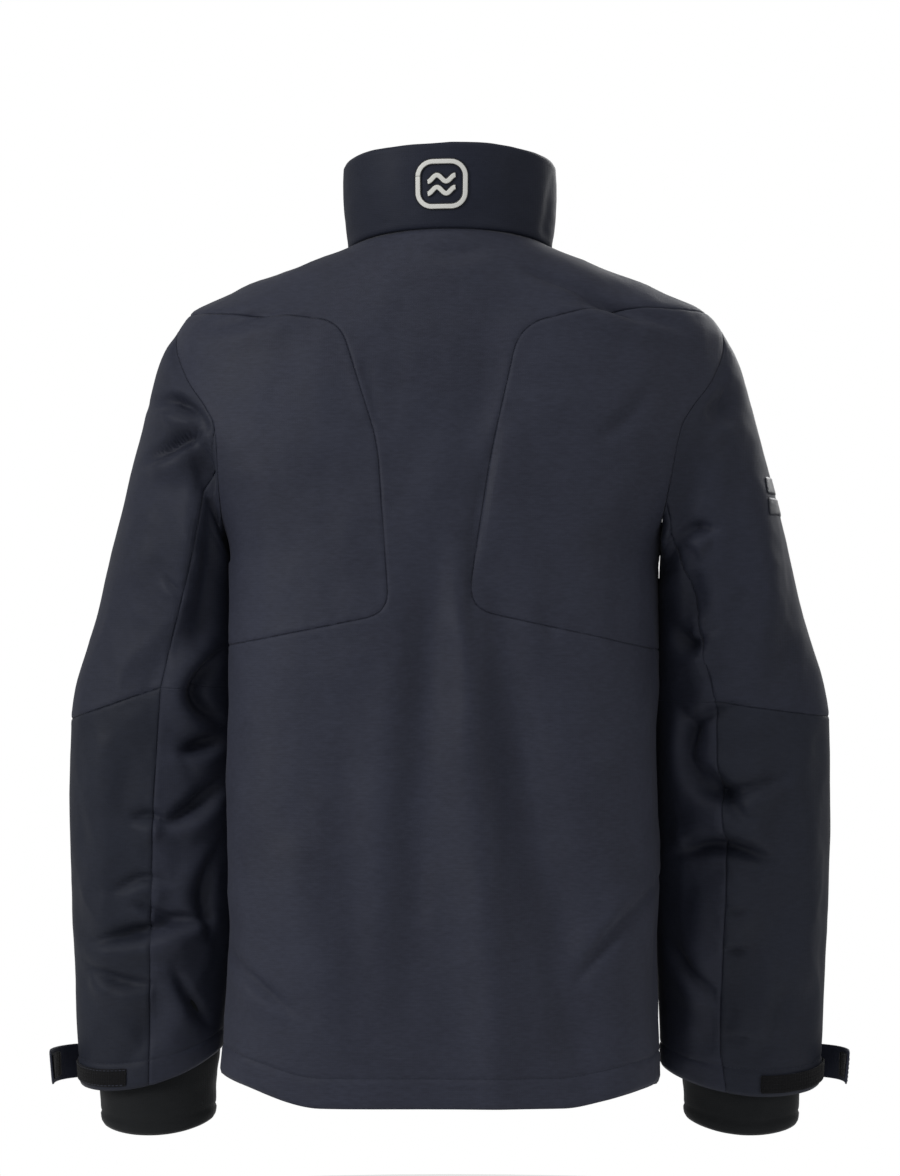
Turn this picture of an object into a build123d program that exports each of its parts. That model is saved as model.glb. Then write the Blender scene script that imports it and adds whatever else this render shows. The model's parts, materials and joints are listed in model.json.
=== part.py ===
# A sailing foul weather jacket, zipped up to the collar, as separate cloth panels and trims.
# The wearer faces -Y and their left hand is at +X. The origin is the centre of the neck
# opening, level with the collar seam at the centre of the back.
from build123d import *
import os
from math import copysign, cos, hypot, pi, radians, sin

os.makedirs("parts", exist_ok=True)

# ---- Driving dimensions, in millimetres ----
cloth = 2.0  # shell cloth with its backing
lining = 1.5  # collar lining, pocket bags and the placket
fold_gap = 1.5  # between the front that swings and the panel beside it

back_length = 731.0  # collar seam to hem, straight down
collar_height = 72.0
collar_lean = 5.8  # the collar's top stands this far behind its base
collar_flare = 4.0  # and is this much wider on each side
neck_half = (87.0, 80.0)  # half width and half depth of the neck opening
neck_centre = 1.0
neck_tilt = 10.0  # degrees that the neck opening falls towards the front
shoulder_drop = 72.0
shoulder_half = 230.0
chest_half = 173.0

zip_top = (-72.0, 45.0)  # Y and Z of the front zip's upper end
zip_foot = (-135.0, -back_length)
swing_top = 50.0  # half width of the front that swings, at the collar's top
swing_foot = 95.0  # and at the hem

armhole_top = (231.0, -66.0)
armhole_foot = (171.0, -272.0)
back_cut = 42.0  # the back panels lie behind this Y
front_cut = -40.0  # the front panels lie in front of this one
panel_height = -232.0  # the side panels reach up to here
back_drape = 14.0  # how far the back seams hang towards the wearer's left

elbow_pivot = (-43.0, -419.0)
elbow_apex = 3.0  # the notch in front of the elbow starts this far behind the pivot
elbow_slope = 1.1  # rise of each side of the notch for its reach

tab_hinge = (318.0, -58.0)
tab_lift = 36.0  # degrees that the undone tab stands off the sleeve
tab_low, tab_high, tab_end = -722.0, -692.0, -7.0

tooth = (5.0, 2.4, 3.0)  # reach, height and thickness of a tooth of the main zip
tooth_pitch = 6.0
tape_front = -3.6  # the zip tapes lie this far inside the cloth's outer face
main_zip = (6.5, 1.0)  # half the gap between the cloth edges, and the slider's scale
pocket_zip = (5.0, 0.76)
hand_zip_place = (130.0, -430.0, -590.0)  # X, and Z of both ends
chest_zip_place = (105.0, -156.0, -268.0)


def front_line(z):
    """Y of the straight line that the front zip follows."""
    share = (zip_top[1] - z) / (zip_top[1] - zip_foot[1])
    return zip_top[0] + share * (zip_foot[0] - zip_top[0])


# Each station is Z, half width, depth behind the origin, and how square the oval is.
torso_stations = [
    (-shoulder_drop, shoulder_half, 106.0, 2.4),
    (-150.0, 238.0, 120.0, 2.5),
    (-278.0, chest_half, 124.0, 2.6),
    (-500.0, chest_half + 2, 122.0, 2.6),
    (-back_length, chest_half + 5, 124.0, 2.6),
]

# Each station runs across the left sleeve: inner X and Z, outer X and Z, middle Y, half depth.
upper_sleeve_stations = [
    ((177.5, -270.0), (234.0, -72.0), 4.0, 68.0),
    ((179.5, -286.0), (254.0, -150.0), 0.0, 74.0),
    ((180.5, -296.0), (279.0, -245.0), -5.0, 74.0),
    ((180.5, -350.0), (303.0, -335.0), -10.0, 66.0),
    ((180.5, -418.0), (325.0, -418.0), -14.0, 59.0),
]
forearm_stations = [
    ((180.5, -420.0), (325.0, -420.0), -14.0, 59.0),
    ((184.0, -560.0), (324.0, -560.0), -26.0, 55.0),
    ((195.0, -700.0), (319.0, -730.0), -42.0, 45.0),
]
inner_cuff_stations = [
    ((196.0, -655.0), (314.0, -655.0), -36.5, 42.0),
    ((202.0, -715.0), (307.0, -722.0), -42.0, 38.0),
    ((206.0, -762.0), (303.0, -767.0), -44.0, 35.0),
]


def signed_power(value, power):
    return copysign(abs(value) ** power, value)


def front_surface(x, z):
    """Y of the jacket's front at a given X and Z below the shoulders."""
    upper = max(n for n in range(len(torso_stations) - 1) if torso_stations[n][0] >= z)
    (z_a, wide_a, _, square_a), (z_b, wide_b, _, square_b) = torso_stations[upper : upper + 2]
    share = (z - z_a) / (z_b - z_a)
    wide = wide_a + share * (wide_b - wide_a)
    square = square_a + share * (square_b - square_a)
    return front_line(z) * (1 - (x / wide) ** square) ** (1 / square)


def oval(plane, half_width, back, front, squareness):
    """A closed oval with its own depth behind and in front, boxier as squareness grows."""
    points = []
    for step in range(16):
        turn = 2 * pi * step / 16
        reach = back if step < 8 else front
        x = half_width * signed_power(cos(turn), 2 / squareness)
        points.append((x, reach * signed_power(sin(turn), 2 / squareness)))
    with BuildSketch(plane) as section:
        with BuildLine():
            Spline(*points, periodic=True)
        make_face()
    return section.sketch


def neck_section(share, inset):
    """The neck opening's ellipse, at a share of the collar's height."""
    middle = (
        0,
        neck_centre + share * collar_lean,
        share * collar_height - neck_half[1] * sin(radians(neck_tilt)),
    )
    plane = Plane(origin=middle).rotated((neck_tilt, 0, 0))
    with BuildSketch(plane) as section:
        Ellipse(neck_half[0] + share * collar_flare - inset, neck_half[1] - inset)
    return section.sketch


def torso_sections(inset, drop=0.0):
    """Ovals from the shoulders down to the hem, drawn in by inset and lowered by drop."""
    sections = []
    for z, half_width, back, squareness in torso_stations:
        front = -front_line(z) - inset
        plane = Plane.XY.offset(z - drop)
        sections.append(oval(plane, half_width - inset, back - inset, front, squareness))
    return sections


def sleeve_sections(stations, inset):
    """Ellipses across a sleeve, each on the plane that its station's two ends give."""
    sections = []
    for (inner_x, inner_z), (outer_x, outer_z), centre_y, half_depth in stations:
        width = hypot(outer_x - inner_x, outer_z - inner_z)
        across = ((outer_x - inner_x) / width, (outer_z - inner_z) / width)
        plane = Plane(
            origin=((inner_x + outer_x) / 2, centre_y, (inner_z + outer_z) / 2),
            x_dir=(across[0], 0, across[1]),
            z_dir=(-across[1], 0, across[0]),
        )
        with BuildSketch(plane) as section:
            Ellipse(width / 2 - inset, half_depth - inset)
        sections.append(section.sketch)
    return sections


def torso_layer(outside, inside):
    """The body of the jacket as a tube between two insets, with both armholes cut."""
    with BuildPart() as tube:
        loft([neck_section(0, outside), *torso_sections(outside)], ruled=True)
        inner = [neck_section(0, inside), *torso_sections(inside, drop=inside - outside)]
        loft(inner, ruled=True, mode=Mode.SUBTRACT)
        with BuildSketch(Plane.XZ.offset(-150)) as armhole:
            with BuildLine():
                Polyline(
                    armhole_top,
                    armhole_foot,
                    (300, armhole_foot[1]),
                    (300, armhole_top[1]),
                    close=True,
                )
            make_face()
            mirror(about=Plane.YZ)
        extrude(amount=300, mode=Mode.SUBTRACT)
    return tube.part


def collar_layer(outside, inside):
    """The standing collar as a tube between two insets."""
    with BuildPart() as tube:
        loft([neck_section(0, outside), neck_section(1, outside)], ruled=True)
        inner = [neck_section(0, inside), neck_section(1, inside)]
        loft(inner, ruled=True, mode=Mode.SUBTRACT)
    return tube.part


def sleeve_layer(stations, outside, inside):
    with BuildPart() as tube:
        loft(sleeve_sections(stations, outside), ruled=True)
        loft(sleeve_sections(stations, inside), ruled=True, mode=Mode.SUBTRACT)
    return tube.part


def prism(plane, corners, depth):
    """A straight-sided region through the jacket, drawn by its corners on a plane."""
    with BuildPart() as region:
        with BuildSketch(plane):
            with BuildLine():
                Polyline(*corners, close=True)
            make_face()
        extrude(amount=depth, both=True)
    return region.part


def box_between(low, high):
    """A plain box from its lowest corner to its highest."""
    with BuildPart() as region:
        with Locations(tuple((a + b) / 2 for a, b in zip(low, high))):
            Box(*[b - a for a, b in zip(low, high)])
    return region.part


def cut(part, keep=(), remove=()):
    """A layer held to every region in keep, less every region in remove."""
    with BuildPart() as piece:
        add(part)
        for region in keep:
            add(region, mode=Mode.INTERSECT)
        for region in remove:
            add(region, mode=Mode.SUBTRACT)
    return piece.part


def save(part, name):
    part.label = name
    export_step(part, f"parts/{name}.step")


def save_pair(part, name):
    """Writes a piece of the left side, and its mirror image for the right."""
    save(part, f"{name}_left")
    with BuildPart() as other:
        mirror(part, about=Plane.YZ)
    save(other.part, f"{name}_right")


# ---- The regions that the tubes are cut into ----
def fold_x(z):
    """X of the left fold line, which the front swings about."""
    share = (collar_height - z) / (collar_height + back_length)
    return swing_top + share * (swing_foot - swing_top)


def swing_region(first_x, gap):
    """The left part of the front that swings, from first_x out to the fold line."""
    high, low = 120.0, -back_length - 40
    corners = [(first_x, high), (fold_x(high) - gap, high), (fold_x(low) - gap, low), (first_x, low)]
    return prism(Plane.XZ.offset(100), corners, 100)


def upper_back_region(side):
    """The upper back panel: a rounded panel that runs in from the armhole and the side."""
    with BuildPart() as region:
        with BuildSketch(Plane.XZ):
            with BuildLine():
                FilletPolyline(
                    (side * 300, -86),
                    (side * 115, -88),
                    (side * 58, -104),
                    (side * 36, -200),
                    (side * 22, -304),
                    (side * 300, -368),
                    radius=16,
                    close=True,
                )
            make_face()
        extrude(amount=-200)
    return region.part.moved(Location((back_drape, 0, 0)))


torso = torso_layer(0, cloth)
behind = box_between((-260, back_cut, -800), (260, 200, 40))
before = box_between((0, -200, -800), (260, front_cut, 40))
swing_out = swing_region(-10, -fold_gap / 2)
swing_in = swing_region(main_zip[0], fold_gap / 2)

# ---- Back ----
upper_backs = {"left": upper_back_region(1), "right": upper_back_region(-1)}
save(cut(torso, [behind], upper_backs.values()), "back_main")
for name, region in upper_backs.items():
    save(cut(torso, [behind, region]), f"back_upper_{name}")

# ---- Sides and shoulders ----
below = box_between((0, front_cut, -800), (260, back_cut, panel_height))
above = box_between((0, front_cut, panel_height), (260, back_cut, 40))
save_pair(cut(torso, [below]), "side_panel")
save_pair(cut(torso, [above]), "shoulder_yoke")


# ---- Zips ----
class ZipPlace:
    """Where a zip lies: its plane, with Y up the chain and Z out of the cloth, and length."""

    def __init__(self, head, foot, outward, half_gap, scale):
        up = Vector(*head) - Vector(*foot)
        across = up.cross(Vector(*outward))
        self.length = up.length
        self.plane = Plane(origin=head, x_dir=across, z_dir=across.cross(up))
        self.half_gap = half_gap
        self.scale = scale


def pocket_zip_place(x, z_head, z_foot):
    head = (x, front_surface(x, z_head), z_head)
    foot = (x, front_surface(x, z_foot), z_foot)
    middle = (z_head + z_foot) / 2
    slope = (front_surface(x + 4, middle) - front_surface(x - 4, middle)) / 8
    return ZipPlace(head, foot, (slope, -1, 0), *pocket_zip)


def tape(place, side):
    """One tape of a zip, from the teeth's roots to the seam behind the cloth."""
    inner = 3.3 * place.scale
    width = 12 * place.scale - inner
    with BuildPart(place.plane) as strip:
        with Locations((side * (inner + width / 2), -place.length / 2, tape_front)):
            Box(width, place.length, 0.8, align=(Align.CENTER, Align.CENTER, Align.MAX))
    return strip.part


def teeth(place, side):
    """One row of teeth. The rows lie half a pitch apart, so that they mesh."""
    reach, height, thick = tooth
    pitch = tooth_pitch * place.scale
    margin = 24 * place.scale
    count = int((place.length - margin - 12) / pitch)
    middle = -margin - (count - 1) * pitch / 2 - (pitch / 2 if side < 0 else 0)
    with BuildPart(place.plane) as row:
        with Locations((side * (reach * 0.14) * place.scale, middle, -3.4)):
            with GridLocations(1, pitch, 1, count):
                Box(reach * place.scale, height * place.scale, thick)
    return row.part


def slider(place):
    """A slider at its closed place: two plates joined by a post, and a lug for the pull."""
    s = place.scale
    with BuildPart(place.plane) as body:
        with BuildSketch(place.plane.offset(-1.4)) as front_plate:
            with Locations((0, -18 * s)):
                RectangleRounded(11.6 * s, 16 * s, 3 * s)
        extrude(amount=1.7)
        with BuildSketch(place.plane.offset(-6.9)) as back_plate:
            with Locations((0, -18 * s)):
                RectangleRounded(11.6 * s, 16 * s, 3 * s)
        extrude(amount=1.5)
        with Locations((0, -12.5 * s, -3.4)):
            Box(2.6 * s, 3 * s, 5)
        with Locations((0, -14 * s, 2.1)):
            Box(3 * s, 5 * s, 4.4)
        with BuildSketch(Plane(place.plane.from_local_coords((-4, -14 * s, 2.5)),
                               x_dir=place.plane.y_dir, z_dir=place.plane.x_dir)):
            Circle(1.0)
        extrude(amount=8, mode=Mode.SUBTRACT)
    return body.part


def pull(place):
    """The pull: a pin through the slider's lug, two arms and a long grip with a hole."""
    s = place.scale
    arm = 2.75 * s
    with BuildPart(place.plane) as body:
        with BuildSketch(place.plane.offset(1.5)):
            with Locations((0, -34 * s)):
                RectangleRounded(8.5 * s, 30 * s, 2.5 * s)
            with Locations((0, -43 * s)):
                SlotOverall(4 * s, 2.4 * s, mode=Mode.SUBTRACT)
        extrude(amount=2)
        with Locations((arm, -17 * s, 2.5), (-arm, -17 * s, 2.5)):
            Box(1.5 * s, 8 * s, 2)
        with BuildSketch(Plane(place.plane.from_local_coords((-arm, -14 * s, 2.5)),
                               x_dir=place.plane.y_dir, z_dir=place.plane.x_dir)):
            Circle(0.6)
        extrude(amount=2 * arm)
    return body.part


def slot_region(place):
    """The slit in the cloth that a pocket's zip closes."""
    with BuildPart(place.plane) as region:
        with Locations((0, -place.length / 2, 0)):
            Box(2 * place.half_gap, place.length - 6, 12)
    return region.part


def pocket_bag(low_x, high_x, low_z, high_z):
    """The bag behind a pocket's slit: a shallow tray, open towards the front panel."""
    tray = box_between((low_x, -200, low_z), (high_x, 0, high_z))
    room = box_between(
        (low_x + lining, -200, low_z + lining), (high_x - lining, 0, high_z - lining)
    )
    return cut(bag_layer, [tray], [cut(bag_room, [room])])


main_place = ZipPlace((0, *zip_top), (0, *zip_foot), (0, -1, 0), *main_zip)
hand_place = pocket_zip_place(*hand_zip_place)
chest_place = pocket_zip_place(*chest_zip_place)

# ---- Fronts: the part beside the zip swings open about the fold line ----
front_side = cut(torso, [before], [swing_out])
hand_slot = slot_region(hand_place)
save(cut(front_side, remove=[hand_slot, slot_region(chest_place)]), "front_side_left")
with BuildPart() as front_side_right:
    mirror(cut(front_side, remove=[hand_slot]), about=Plane.YZ)
save(front_side_right.part, "front_side_right")
save_pair(cut(torso, [before, swing_in]), "front_centre")

# ---- Collar, its lining, and the guard at the chin ----
swing_out_right = swing_out.mirror(Plane.YZ)
collar = collar_layer(0, cloth)
collar_inner = collar_layer(cloth + 0.1, cloth + 0.1 + lining)
lining_in = swing_region(17.0, fold_gap / 2)
save(cut(collar, remove=[swing_out, swing_out_right]), "collar_back")
save_pair(cut(collar, [swing_in]), "collar_front")
save(cut(collar_inner, remove=[swing_out, swing_out_right]), "collar_lining_back")
save_pair(cut(collar_inner, [lining_in]), "collar_lining_front")
chin_place = box_between((14, -120, 14), (44, 0, 80))
save(cut(collar_layer(7.2, 8.4), [chin_place]), "chin_guard")

# ---- Front zip, and the placket behind it ----
save(tape(main_place, 1), "zip_tape_left")
save(tape(main_place, -1), "zip_tape_right")
save(teeth(main_place, 1), "zip_teeth_left")
save(teeth(main_place, -1), "zip_teeth_right")
save(slider(main_place), "zip_slider")
save(pull(main_place), "zip_pull")
with BuildPart(main_place.plane) as zip_box:
    with Locations((-3.4, -main_place.length + 6, -3.4)):
        Box(6, 10, 4.5)
    fillet(zip_box.edges().filter_by(Axis.X), 1)
save(cut(zip_box.part, remove=[tape(main_place, -1)]), "zip_box")
with BuildPart(main_place.plane) as zip_pin:
    with Locations((1.6, -main_place.length + 8, -3.4)):
        Box(2.6, 14, 2.6)
save(zip_pin.part, "zip_pin")
placket_place = box_between((-32, -200, -back_length + 10), (30, 0, -62))
save(cut(torso_layer(9.5, 9.5 + lining), [placket_place]), "inner_placket")

# ---- Pockets ----
bag_layer = torso_layer(4.6, 16.0)
bag_room = torso_layer(4.0, 16.0 - lining)
for place, name in ((hand_place, "hand"), (chest_place, "chest")):
    with BuildPart() as chain:
        for side in (-1, 1):
            add(tape(place, side))
            add(teeth(place, side))
    if name == "hand":
        save_pair(chain.part, "hand_zip")
        save_pair(slider(place), "hand_slider")
        save_pair(pull(place), "hand_pull")
    else:
        save(chain.part, "chest_zip")
        save(slider(place), "chest_slider")
        save(pull(place), "chest_pull")
save_pair(pocket_bag(100, 152, -650, -415), "hand_pocket_bag")
save(pocket_bag(84, 150, -310, -140), "chest_pocket_bag")


# ---- Sleeves ----
def notch(gap):
    """The wedge in front of the elbow, along the whole width of the sleeve."""
    apex = elbow_pivot[0] + elbow_apex - gap
    rise = elbow_slope * (apex + 110)
    corners = [(apex, elbow_pivot[1]), (-110, elbow_pivot[1] + rise), (-110, elbow_pivot[1] - rise)]
    return prism(Plane.YZ, corners, 400)


under_upper = prism(Plane.XZ, [(150, -150), (190, -150), (244, -450), (150, -450)], 200)
under_forearm = prism(Plane.XZ, [(150, -400), (252, -400), (250, -760), (150, -760)], 200)
upper_sleeve = sleeve_layer(upper_sleeve_stations, 0, cloth)
forearm = sleeve_layer(forearm_stations, 0, cloth)
save_pair(cut(upper_sleeve, remove=[under_upper, notch(0)]), "upper_sleeve_outer")
save_pair(cut(upper_sleeve, [under_upper], [notch(0)]), "upper_sleeve_under")
save_pair(cut(forearm, remove=[under_forearm, notch(0)]), "forearm_outer")
save_pair(cut(forearm, [under_forearm], [notch(0)]), "forearm_under")
elbow_stations = [
    upper_sleeve_stations[-2],
    ((180.5, elbow_pivot[1]), (325.0, elbow_pivot[1]), -14.0, 59.0),
    forearm_stations[1],
]
save_pair(cut(sleeve_layer(elbow_stations, 0, cloth), [notch(2.0)]), "inner_elbow")
save_pair(sleeve_layer(inner_cuff_stations, 0, cloth), "inner_cuff")

# ---- Cuff tab with its hook patch, and the loop strip that it closes on ----
with BuildPart() as tab_outline:
    with BuildSketch(Plane.YZ.offset(270)):
        with BuildLine():
            Polyline(
                (tab_end - 10, tab_high),
                (tab_hinge[1], tab_high),
                (tab_hinge[1], tab_low),
                (tab_end - 10, tab_low),
                (tab_end, tab_low + 10),
                (tab_end, tab_high - 10),
                close=True,
            )
        make_face()
    extrude(amount=80)
hook_place = box_between((270, -32, tab_low + 5), (340, tab_end - 4, tab_high - 5))
hinge_line = Axis((tab_hinge[0], tab_hinge[1], 0), (0, 0, 1))
for layer, place, name in (
    (sleeve_layer(forearm_stations, -4.6, -3.0), tab_outline.part, "cuff_tab"),
    (sleeve_layer(forearm_stations, -2.9, -1.9), hook_place, "hook_patch"),
):
    save_pair(cut(layer, [place]).rotate(hinge_line, -tab_lift), name)
strip_place = prism(Plane.XZ, [(262, -697), (262, -712), (335, -729), (335, -714)], 200)
outer_back = box_between((200, -50, -760), (340, 40, -650))
save_pair(
    cut(sleeve_layer(forearm_stations, -1.3, -0.1), [strip_place, outer_back]), "loop_strip"
)

# ---- Hanger loop and the two badges ----
with BuildPart() as hanger_loop:
    with BuildSketch(Plane.XZ.offset(-72)):
        with Locations((0, -14)):
            RectangleRounded(56, 22, 8)
            RectangleRounded(46, 12, 4, mode=Mode.SUBTRACT)
    extrude(amount=1.2)
save(hanger_loop.part, "hanger_loop")

badge_centre = (7.0, 37.0)
with BuildPart() as badge_shape:
    with BuildSketch(Plane.XZ.offset(-60)):
        with Locations(badge_centre):
            RectangleRounded(43, 41, 7)
            RectangleRounded(38, 36, 5, mode=Mode.SUBTRACT)
        for rise in (-8.0, 6.0):
            with BuildLine():
                Spline(
                    *[
                        (badge_centre[0] + 3.4 * n, badge_centre[1] + rise + 2.4 * sin(1.25 * n))
                        for n in range(-4, 5)
                    ]
                )
            trace(line_width=4)
    extrude(amount=-60)
save(cut(collar_layer(-0.6, -0.1), [badge_shape.part]), "collar_badge")

bars = [
    box_between((-293, 0, -223 + rise - 7), (-266, 80, -223 + rise + 7)) for rise in (-9, 9)
]
right_sleeve = sleeve_layer(upper_sleeve_stations, -0.7, -0.1).mirror(Plane.YZ)
with BuildPart() as sleeve_badge:
    for bar in bars:
        add(cut(right_sleeve, [bar]))
save(sleeve_badge.part, "sleeve_badge")
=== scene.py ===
# Foul weather jacket: shaped cloth panels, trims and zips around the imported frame.
import json
import math

import bmesh
import bpy
import numpy as np
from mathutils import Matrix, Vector, noise


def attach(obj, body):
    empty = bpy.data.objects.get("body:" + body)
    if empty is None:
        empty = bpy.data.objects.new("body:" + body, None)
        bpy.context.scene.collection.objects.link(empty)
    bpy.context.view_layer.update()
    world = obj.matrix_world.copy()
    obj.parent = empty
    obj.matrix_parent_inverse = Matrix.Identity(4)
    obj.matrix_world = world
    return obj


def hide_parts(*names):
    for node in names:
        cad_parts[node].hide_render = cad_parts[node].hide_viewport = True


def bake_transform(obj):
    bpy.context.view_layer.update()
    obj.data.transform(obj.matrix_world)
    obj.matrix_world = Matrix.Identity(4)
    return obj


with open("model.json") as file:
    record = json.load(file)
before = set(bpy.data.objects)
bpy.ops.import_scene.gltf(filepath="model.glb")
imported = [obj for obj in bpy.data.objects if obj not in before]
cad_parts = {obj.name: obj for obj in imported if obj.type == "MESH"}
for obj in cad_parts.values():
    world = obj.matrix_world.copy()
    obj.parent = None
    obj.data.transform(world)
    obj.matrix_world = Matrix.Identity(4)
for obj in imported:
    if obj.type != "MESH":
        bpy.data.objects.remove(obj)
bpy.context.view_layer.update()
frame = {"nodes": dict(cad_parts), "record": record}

scene = bpy.context.scene
for spare in [bpy.data.objects.get(name) for name in ("Cube", "Light", "Camera")]:
    if spare:
        bpy.data.objects.remove(spare)
mm = 0.001
print("frame loaded:", len(frame["nodes"]), "nodes")

# shape of the body: each list runs down the jacket, by drop below the collar seam in mm
body = {
    "drop": [0, 24, 48, 68, 90, 150, 278, 400, 500, 731],
    "halfWidth": [87, 134, 182, 223, 236, 240, 180, 180, 180.5, 182],
    "backDepth": [80, 90, 99, 105, 111, 120, 125, 124, 122, 125],
    "frontDepth": [77.8, 79, 80, 81.2, 83, 87.8, 98.2, 108.1, 116.2, 135],
    "frontSquare": [2.0, 2.1, 2.25, 2.35, 2.4, 2.5, 2.6, 2.6, 2.6, 2.6],
    "backSquare": [2.0, 2.1, 2.25, 2.35, 2.45, 2.6, 3.0, 3.4, 3.6, 3.6],
    "neckFall": 13.9,       # the front of the neck is twice this below the back of it
    "neckFade": 45,         # drop over which that tilt fades
    "length": 731,          # collar seam to hem
    "sag": 6.5,             # the back hangs this far towards the wearer's left
    "hemLift": (21, 13),    # the hem rises this much towards the left and the right side seam
    "hemFlare": 3.5,        # the hem stands this much further out on the left
    "hemStitch": 25,        # the stitch row is this far above the hem
    "cloth": 1.1,
    "grid": 3.6,            # spacing of the mesh
    "girth": 1040,          # rough length once round, for the number of faces
    "split": 0.004,         # half the gap in the grid at the middle of the front
    "sideY": -10,           # the shoulder and side seams lie just in front of the middle
    "waves": [(95, 3.0, 3), (34, 0.8, 11), (15, 0.2, 21)],    # size, height and seed of each
    "flats": [(74, 1.6, 13), (28, 0.45, 23)],
    "pucker": (9, 1.3, 31),
    "pressedIn": 4,         # the right side is pressed in by the sleeve that hangs against it
}
armhole = {                 # the body is cut away outside this width
    "drop": [60, 70, 80, 92, 122, 152, 165, 215, 260, 276, 290],
    "halfWidth": [240, 231, 232, 233, 223, 202, 195, 188, 183, 182, 245],
}
# across the left sleeve: distance along it, inner X and Z, outer X and Z, middle Y, half depth
sleeve = {
    "stations": [
        (55, 182, -280, 247, -104, 3, 69),
        (110, 182, -292, 263, -160, -2, 71),
        (165, 180.5, -304, 281, -228, -8, 71),
        (250, 178.5, -352, 305, -325, -14, 64),
        (335, 178.5, -418, 327.5, -413, -18, 59),
        (405, 178.5, -490, 329.5, -490, -23, 57),
        (475, 181, -560, 328.5, -560, -29, 55),
        (570, 191, -645, 325.5, -660, -38, 50),
        (640, 197, -699, 322.5, -731, -42, 45),
    ],
    "rightEnd": [           # from the third station down, the right sleeve hangs closer to the body
        (165, 178, -304, 281, -228, -8, 71),
        (250, 176, -352, 305, -325, -14, 64),
        (335, 176, -418, 327.5, -413, -18, 59),
        (405, 176.5, -490, 329.5, -490, -23, 57),
        (475, 177.5, -562, 328.5, -560, -29, 55),
        (570, 182, -656, 325.5, -660, -38, 50),
        (640, 184, -716, 322.5, -731, -42, 45),
    ],
    "length": 640,
    "hem": 23,              # the stitch row is this far above the sleeve's hem
    "cuffDip": 14,          # the hem hangs this much lower at the back than at its sides
    "foldGain": 2.0,        # the sleeve folds are this many times their listed height
    "cloth": 1.1,
    "grid": 3.4,
    "girth": 430,
    "waves": [(70, 2.6, 5), (26, 0.8, 15), (12, 0.25, 25)],
    "flats": [(52, 2.6, 17), (21, 0.8, 27)],
    "pucker": (8, 1.6, 35),
    "elbowBend": (-413, -505),     # heights around the elbow; nothing turns the forearm between them
    "shoulderBend": (252, 281),    # distances out around the shoulder; nothing turns the arm between them
}


def throughStations(stations, values, query):
    # a curve through the stations that never overshoots; values are stations x points x parts
    x = np.asarray(stations, float)
    y = np.asarray(values, float)
    gap = np.diff(x)
    slope = np.diff(y, axis=0) / gap[:, None, None]
    tangent = np.zeros_like(y)
    tangent[0], tangent[-1] = slope[0], slope[-1]
    near, far = slope[:-1], slope[1:]
    weightA = (2 * gap[1:] + gap[:-1])[:, None, None]
    weightB = (gap[1:] + 2 * gap[:-1])[:, None, None]
    same = near * far > 1e-12
    safeNear, safeFar = np.where(same, near, 1), np.where(same, far, 1)
    middle = (weightA + weightB) / (weightA / safeNear + weightB / safeFar)
    tangent[1:-1] = np.where(same, middle, 0)
    i = np.clip(np.searchsorted(x, query, side="right") - 1, 0, len(x) - 2)
    t = ((query - x[i]) / gap[i])[:, None]
    each = np.arange(len(query)) if y.shape[1] > 1 else np.zeros(len(query), int)
    a, b = y[i, each], y[i + 1, each]
    ta, tb = tangent[i, each] * gap[i][:, None], tangent[i + 1, each] * gap[i][:, None]
    return ((2 * t**3 - 3 * t**2 + 1) * a + (t**3 - 2 * t**2 + t) * ta
            + (3 * t**2 - 2 * t**3) * b + (t**3 - t**2) * tb)


def alongBody(key, drop, shape=body):
    drop = np.clip(drop, shape["drop"][0], shape["drop"][-1])
    return throughStations(shape["drop"], np.array(shape[key], float)[:, None, None], drop)[:, 0]


def ramp(value, low, high):
    t = np.clip((value - low) / (high - low), 0, 1)
    return t * t * (3 - 2 * t)


def sway(points):
    # how far the back hangs over towards the wearer's left
    x, y, z = points.T
    return (body["sag"] + 3 * ramp(x, 60, 170)) * ramp(-z, 110, 290) * ramp(y, 0, 55)


def sectionAt(drop, isBack):
    # how square the body's section is at each drop, and how deep
    square = np.where(isBack, alongBody("backSquare", drop), alongBody("frontSquare", drop))
    depth = np.where(isBack, alongBody("backDepth", drop), alongBody("frontDepth", drop))
    return square, depth


def evenBodyPoint(turn, drop):
    # turn 0 is the wearer's left side, a quarter turn is the back
    c, s = np.cos(turn), np.sin(turn)
    square, depth = sectionAt(drop, s > 0)
    reach = (np.abs(c) ** square + np.abs(s) ** square) ** (-1 / square)
    x = alongBody("halfWidth", drop) * c * reach
    near = np.clip(1 - drop / body["neckFade"], 0, 1)
    z = -drop + near * body["neckFall"] * (s - 1)
    low = ramp(drop, 560, body["length"])
    x = x + body["hemFlare"] * low * ramp(s, 0, 0.3) * ramp(c, 0, 0.6)
    lift = np.where(x > 0, *body["hemLift"])
    hang = lift * ramp(np.abs(x), 100, 190) * ramp(s, -0.2, 0.3) * low
    return np.stack([x, depth * s * reach, z + hang], 1)


def bodyPoint(turn, drop):
    points = evenBodyPoint(turn, drop)
    points[:, 0] += sway(points)
    return points


bodyPoint.limit = body["length"]


def armholeRing(turn):
    # the edge where the sleeve joins the body
    drops = np.linspace(70, 285, 2000)
    wide = alongBody("halfWidth", drops)
    cutAt = alongBody("halfWidth", drops, armhole)
    inside = drops[cutAt < wide]
    top, foot = inside[0], inside[-1]
    drop = top + (foot - top) * (1 - np.cos(turn)) / 2
    wide = alongBody("halfWidth", drop)
    x = np.minimum(alongBody("halfWidth", drop, armhole), wide)
    square, depth = sectionAt(drop, np.sin(turn) > 0)
    y = depth * np.clip(1 - (x / wide) ** square, 0, 1) ** (1 / square)
    return np.stack([x, y * np.sign(np.sin(turn)), -drop], 1)


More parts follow.
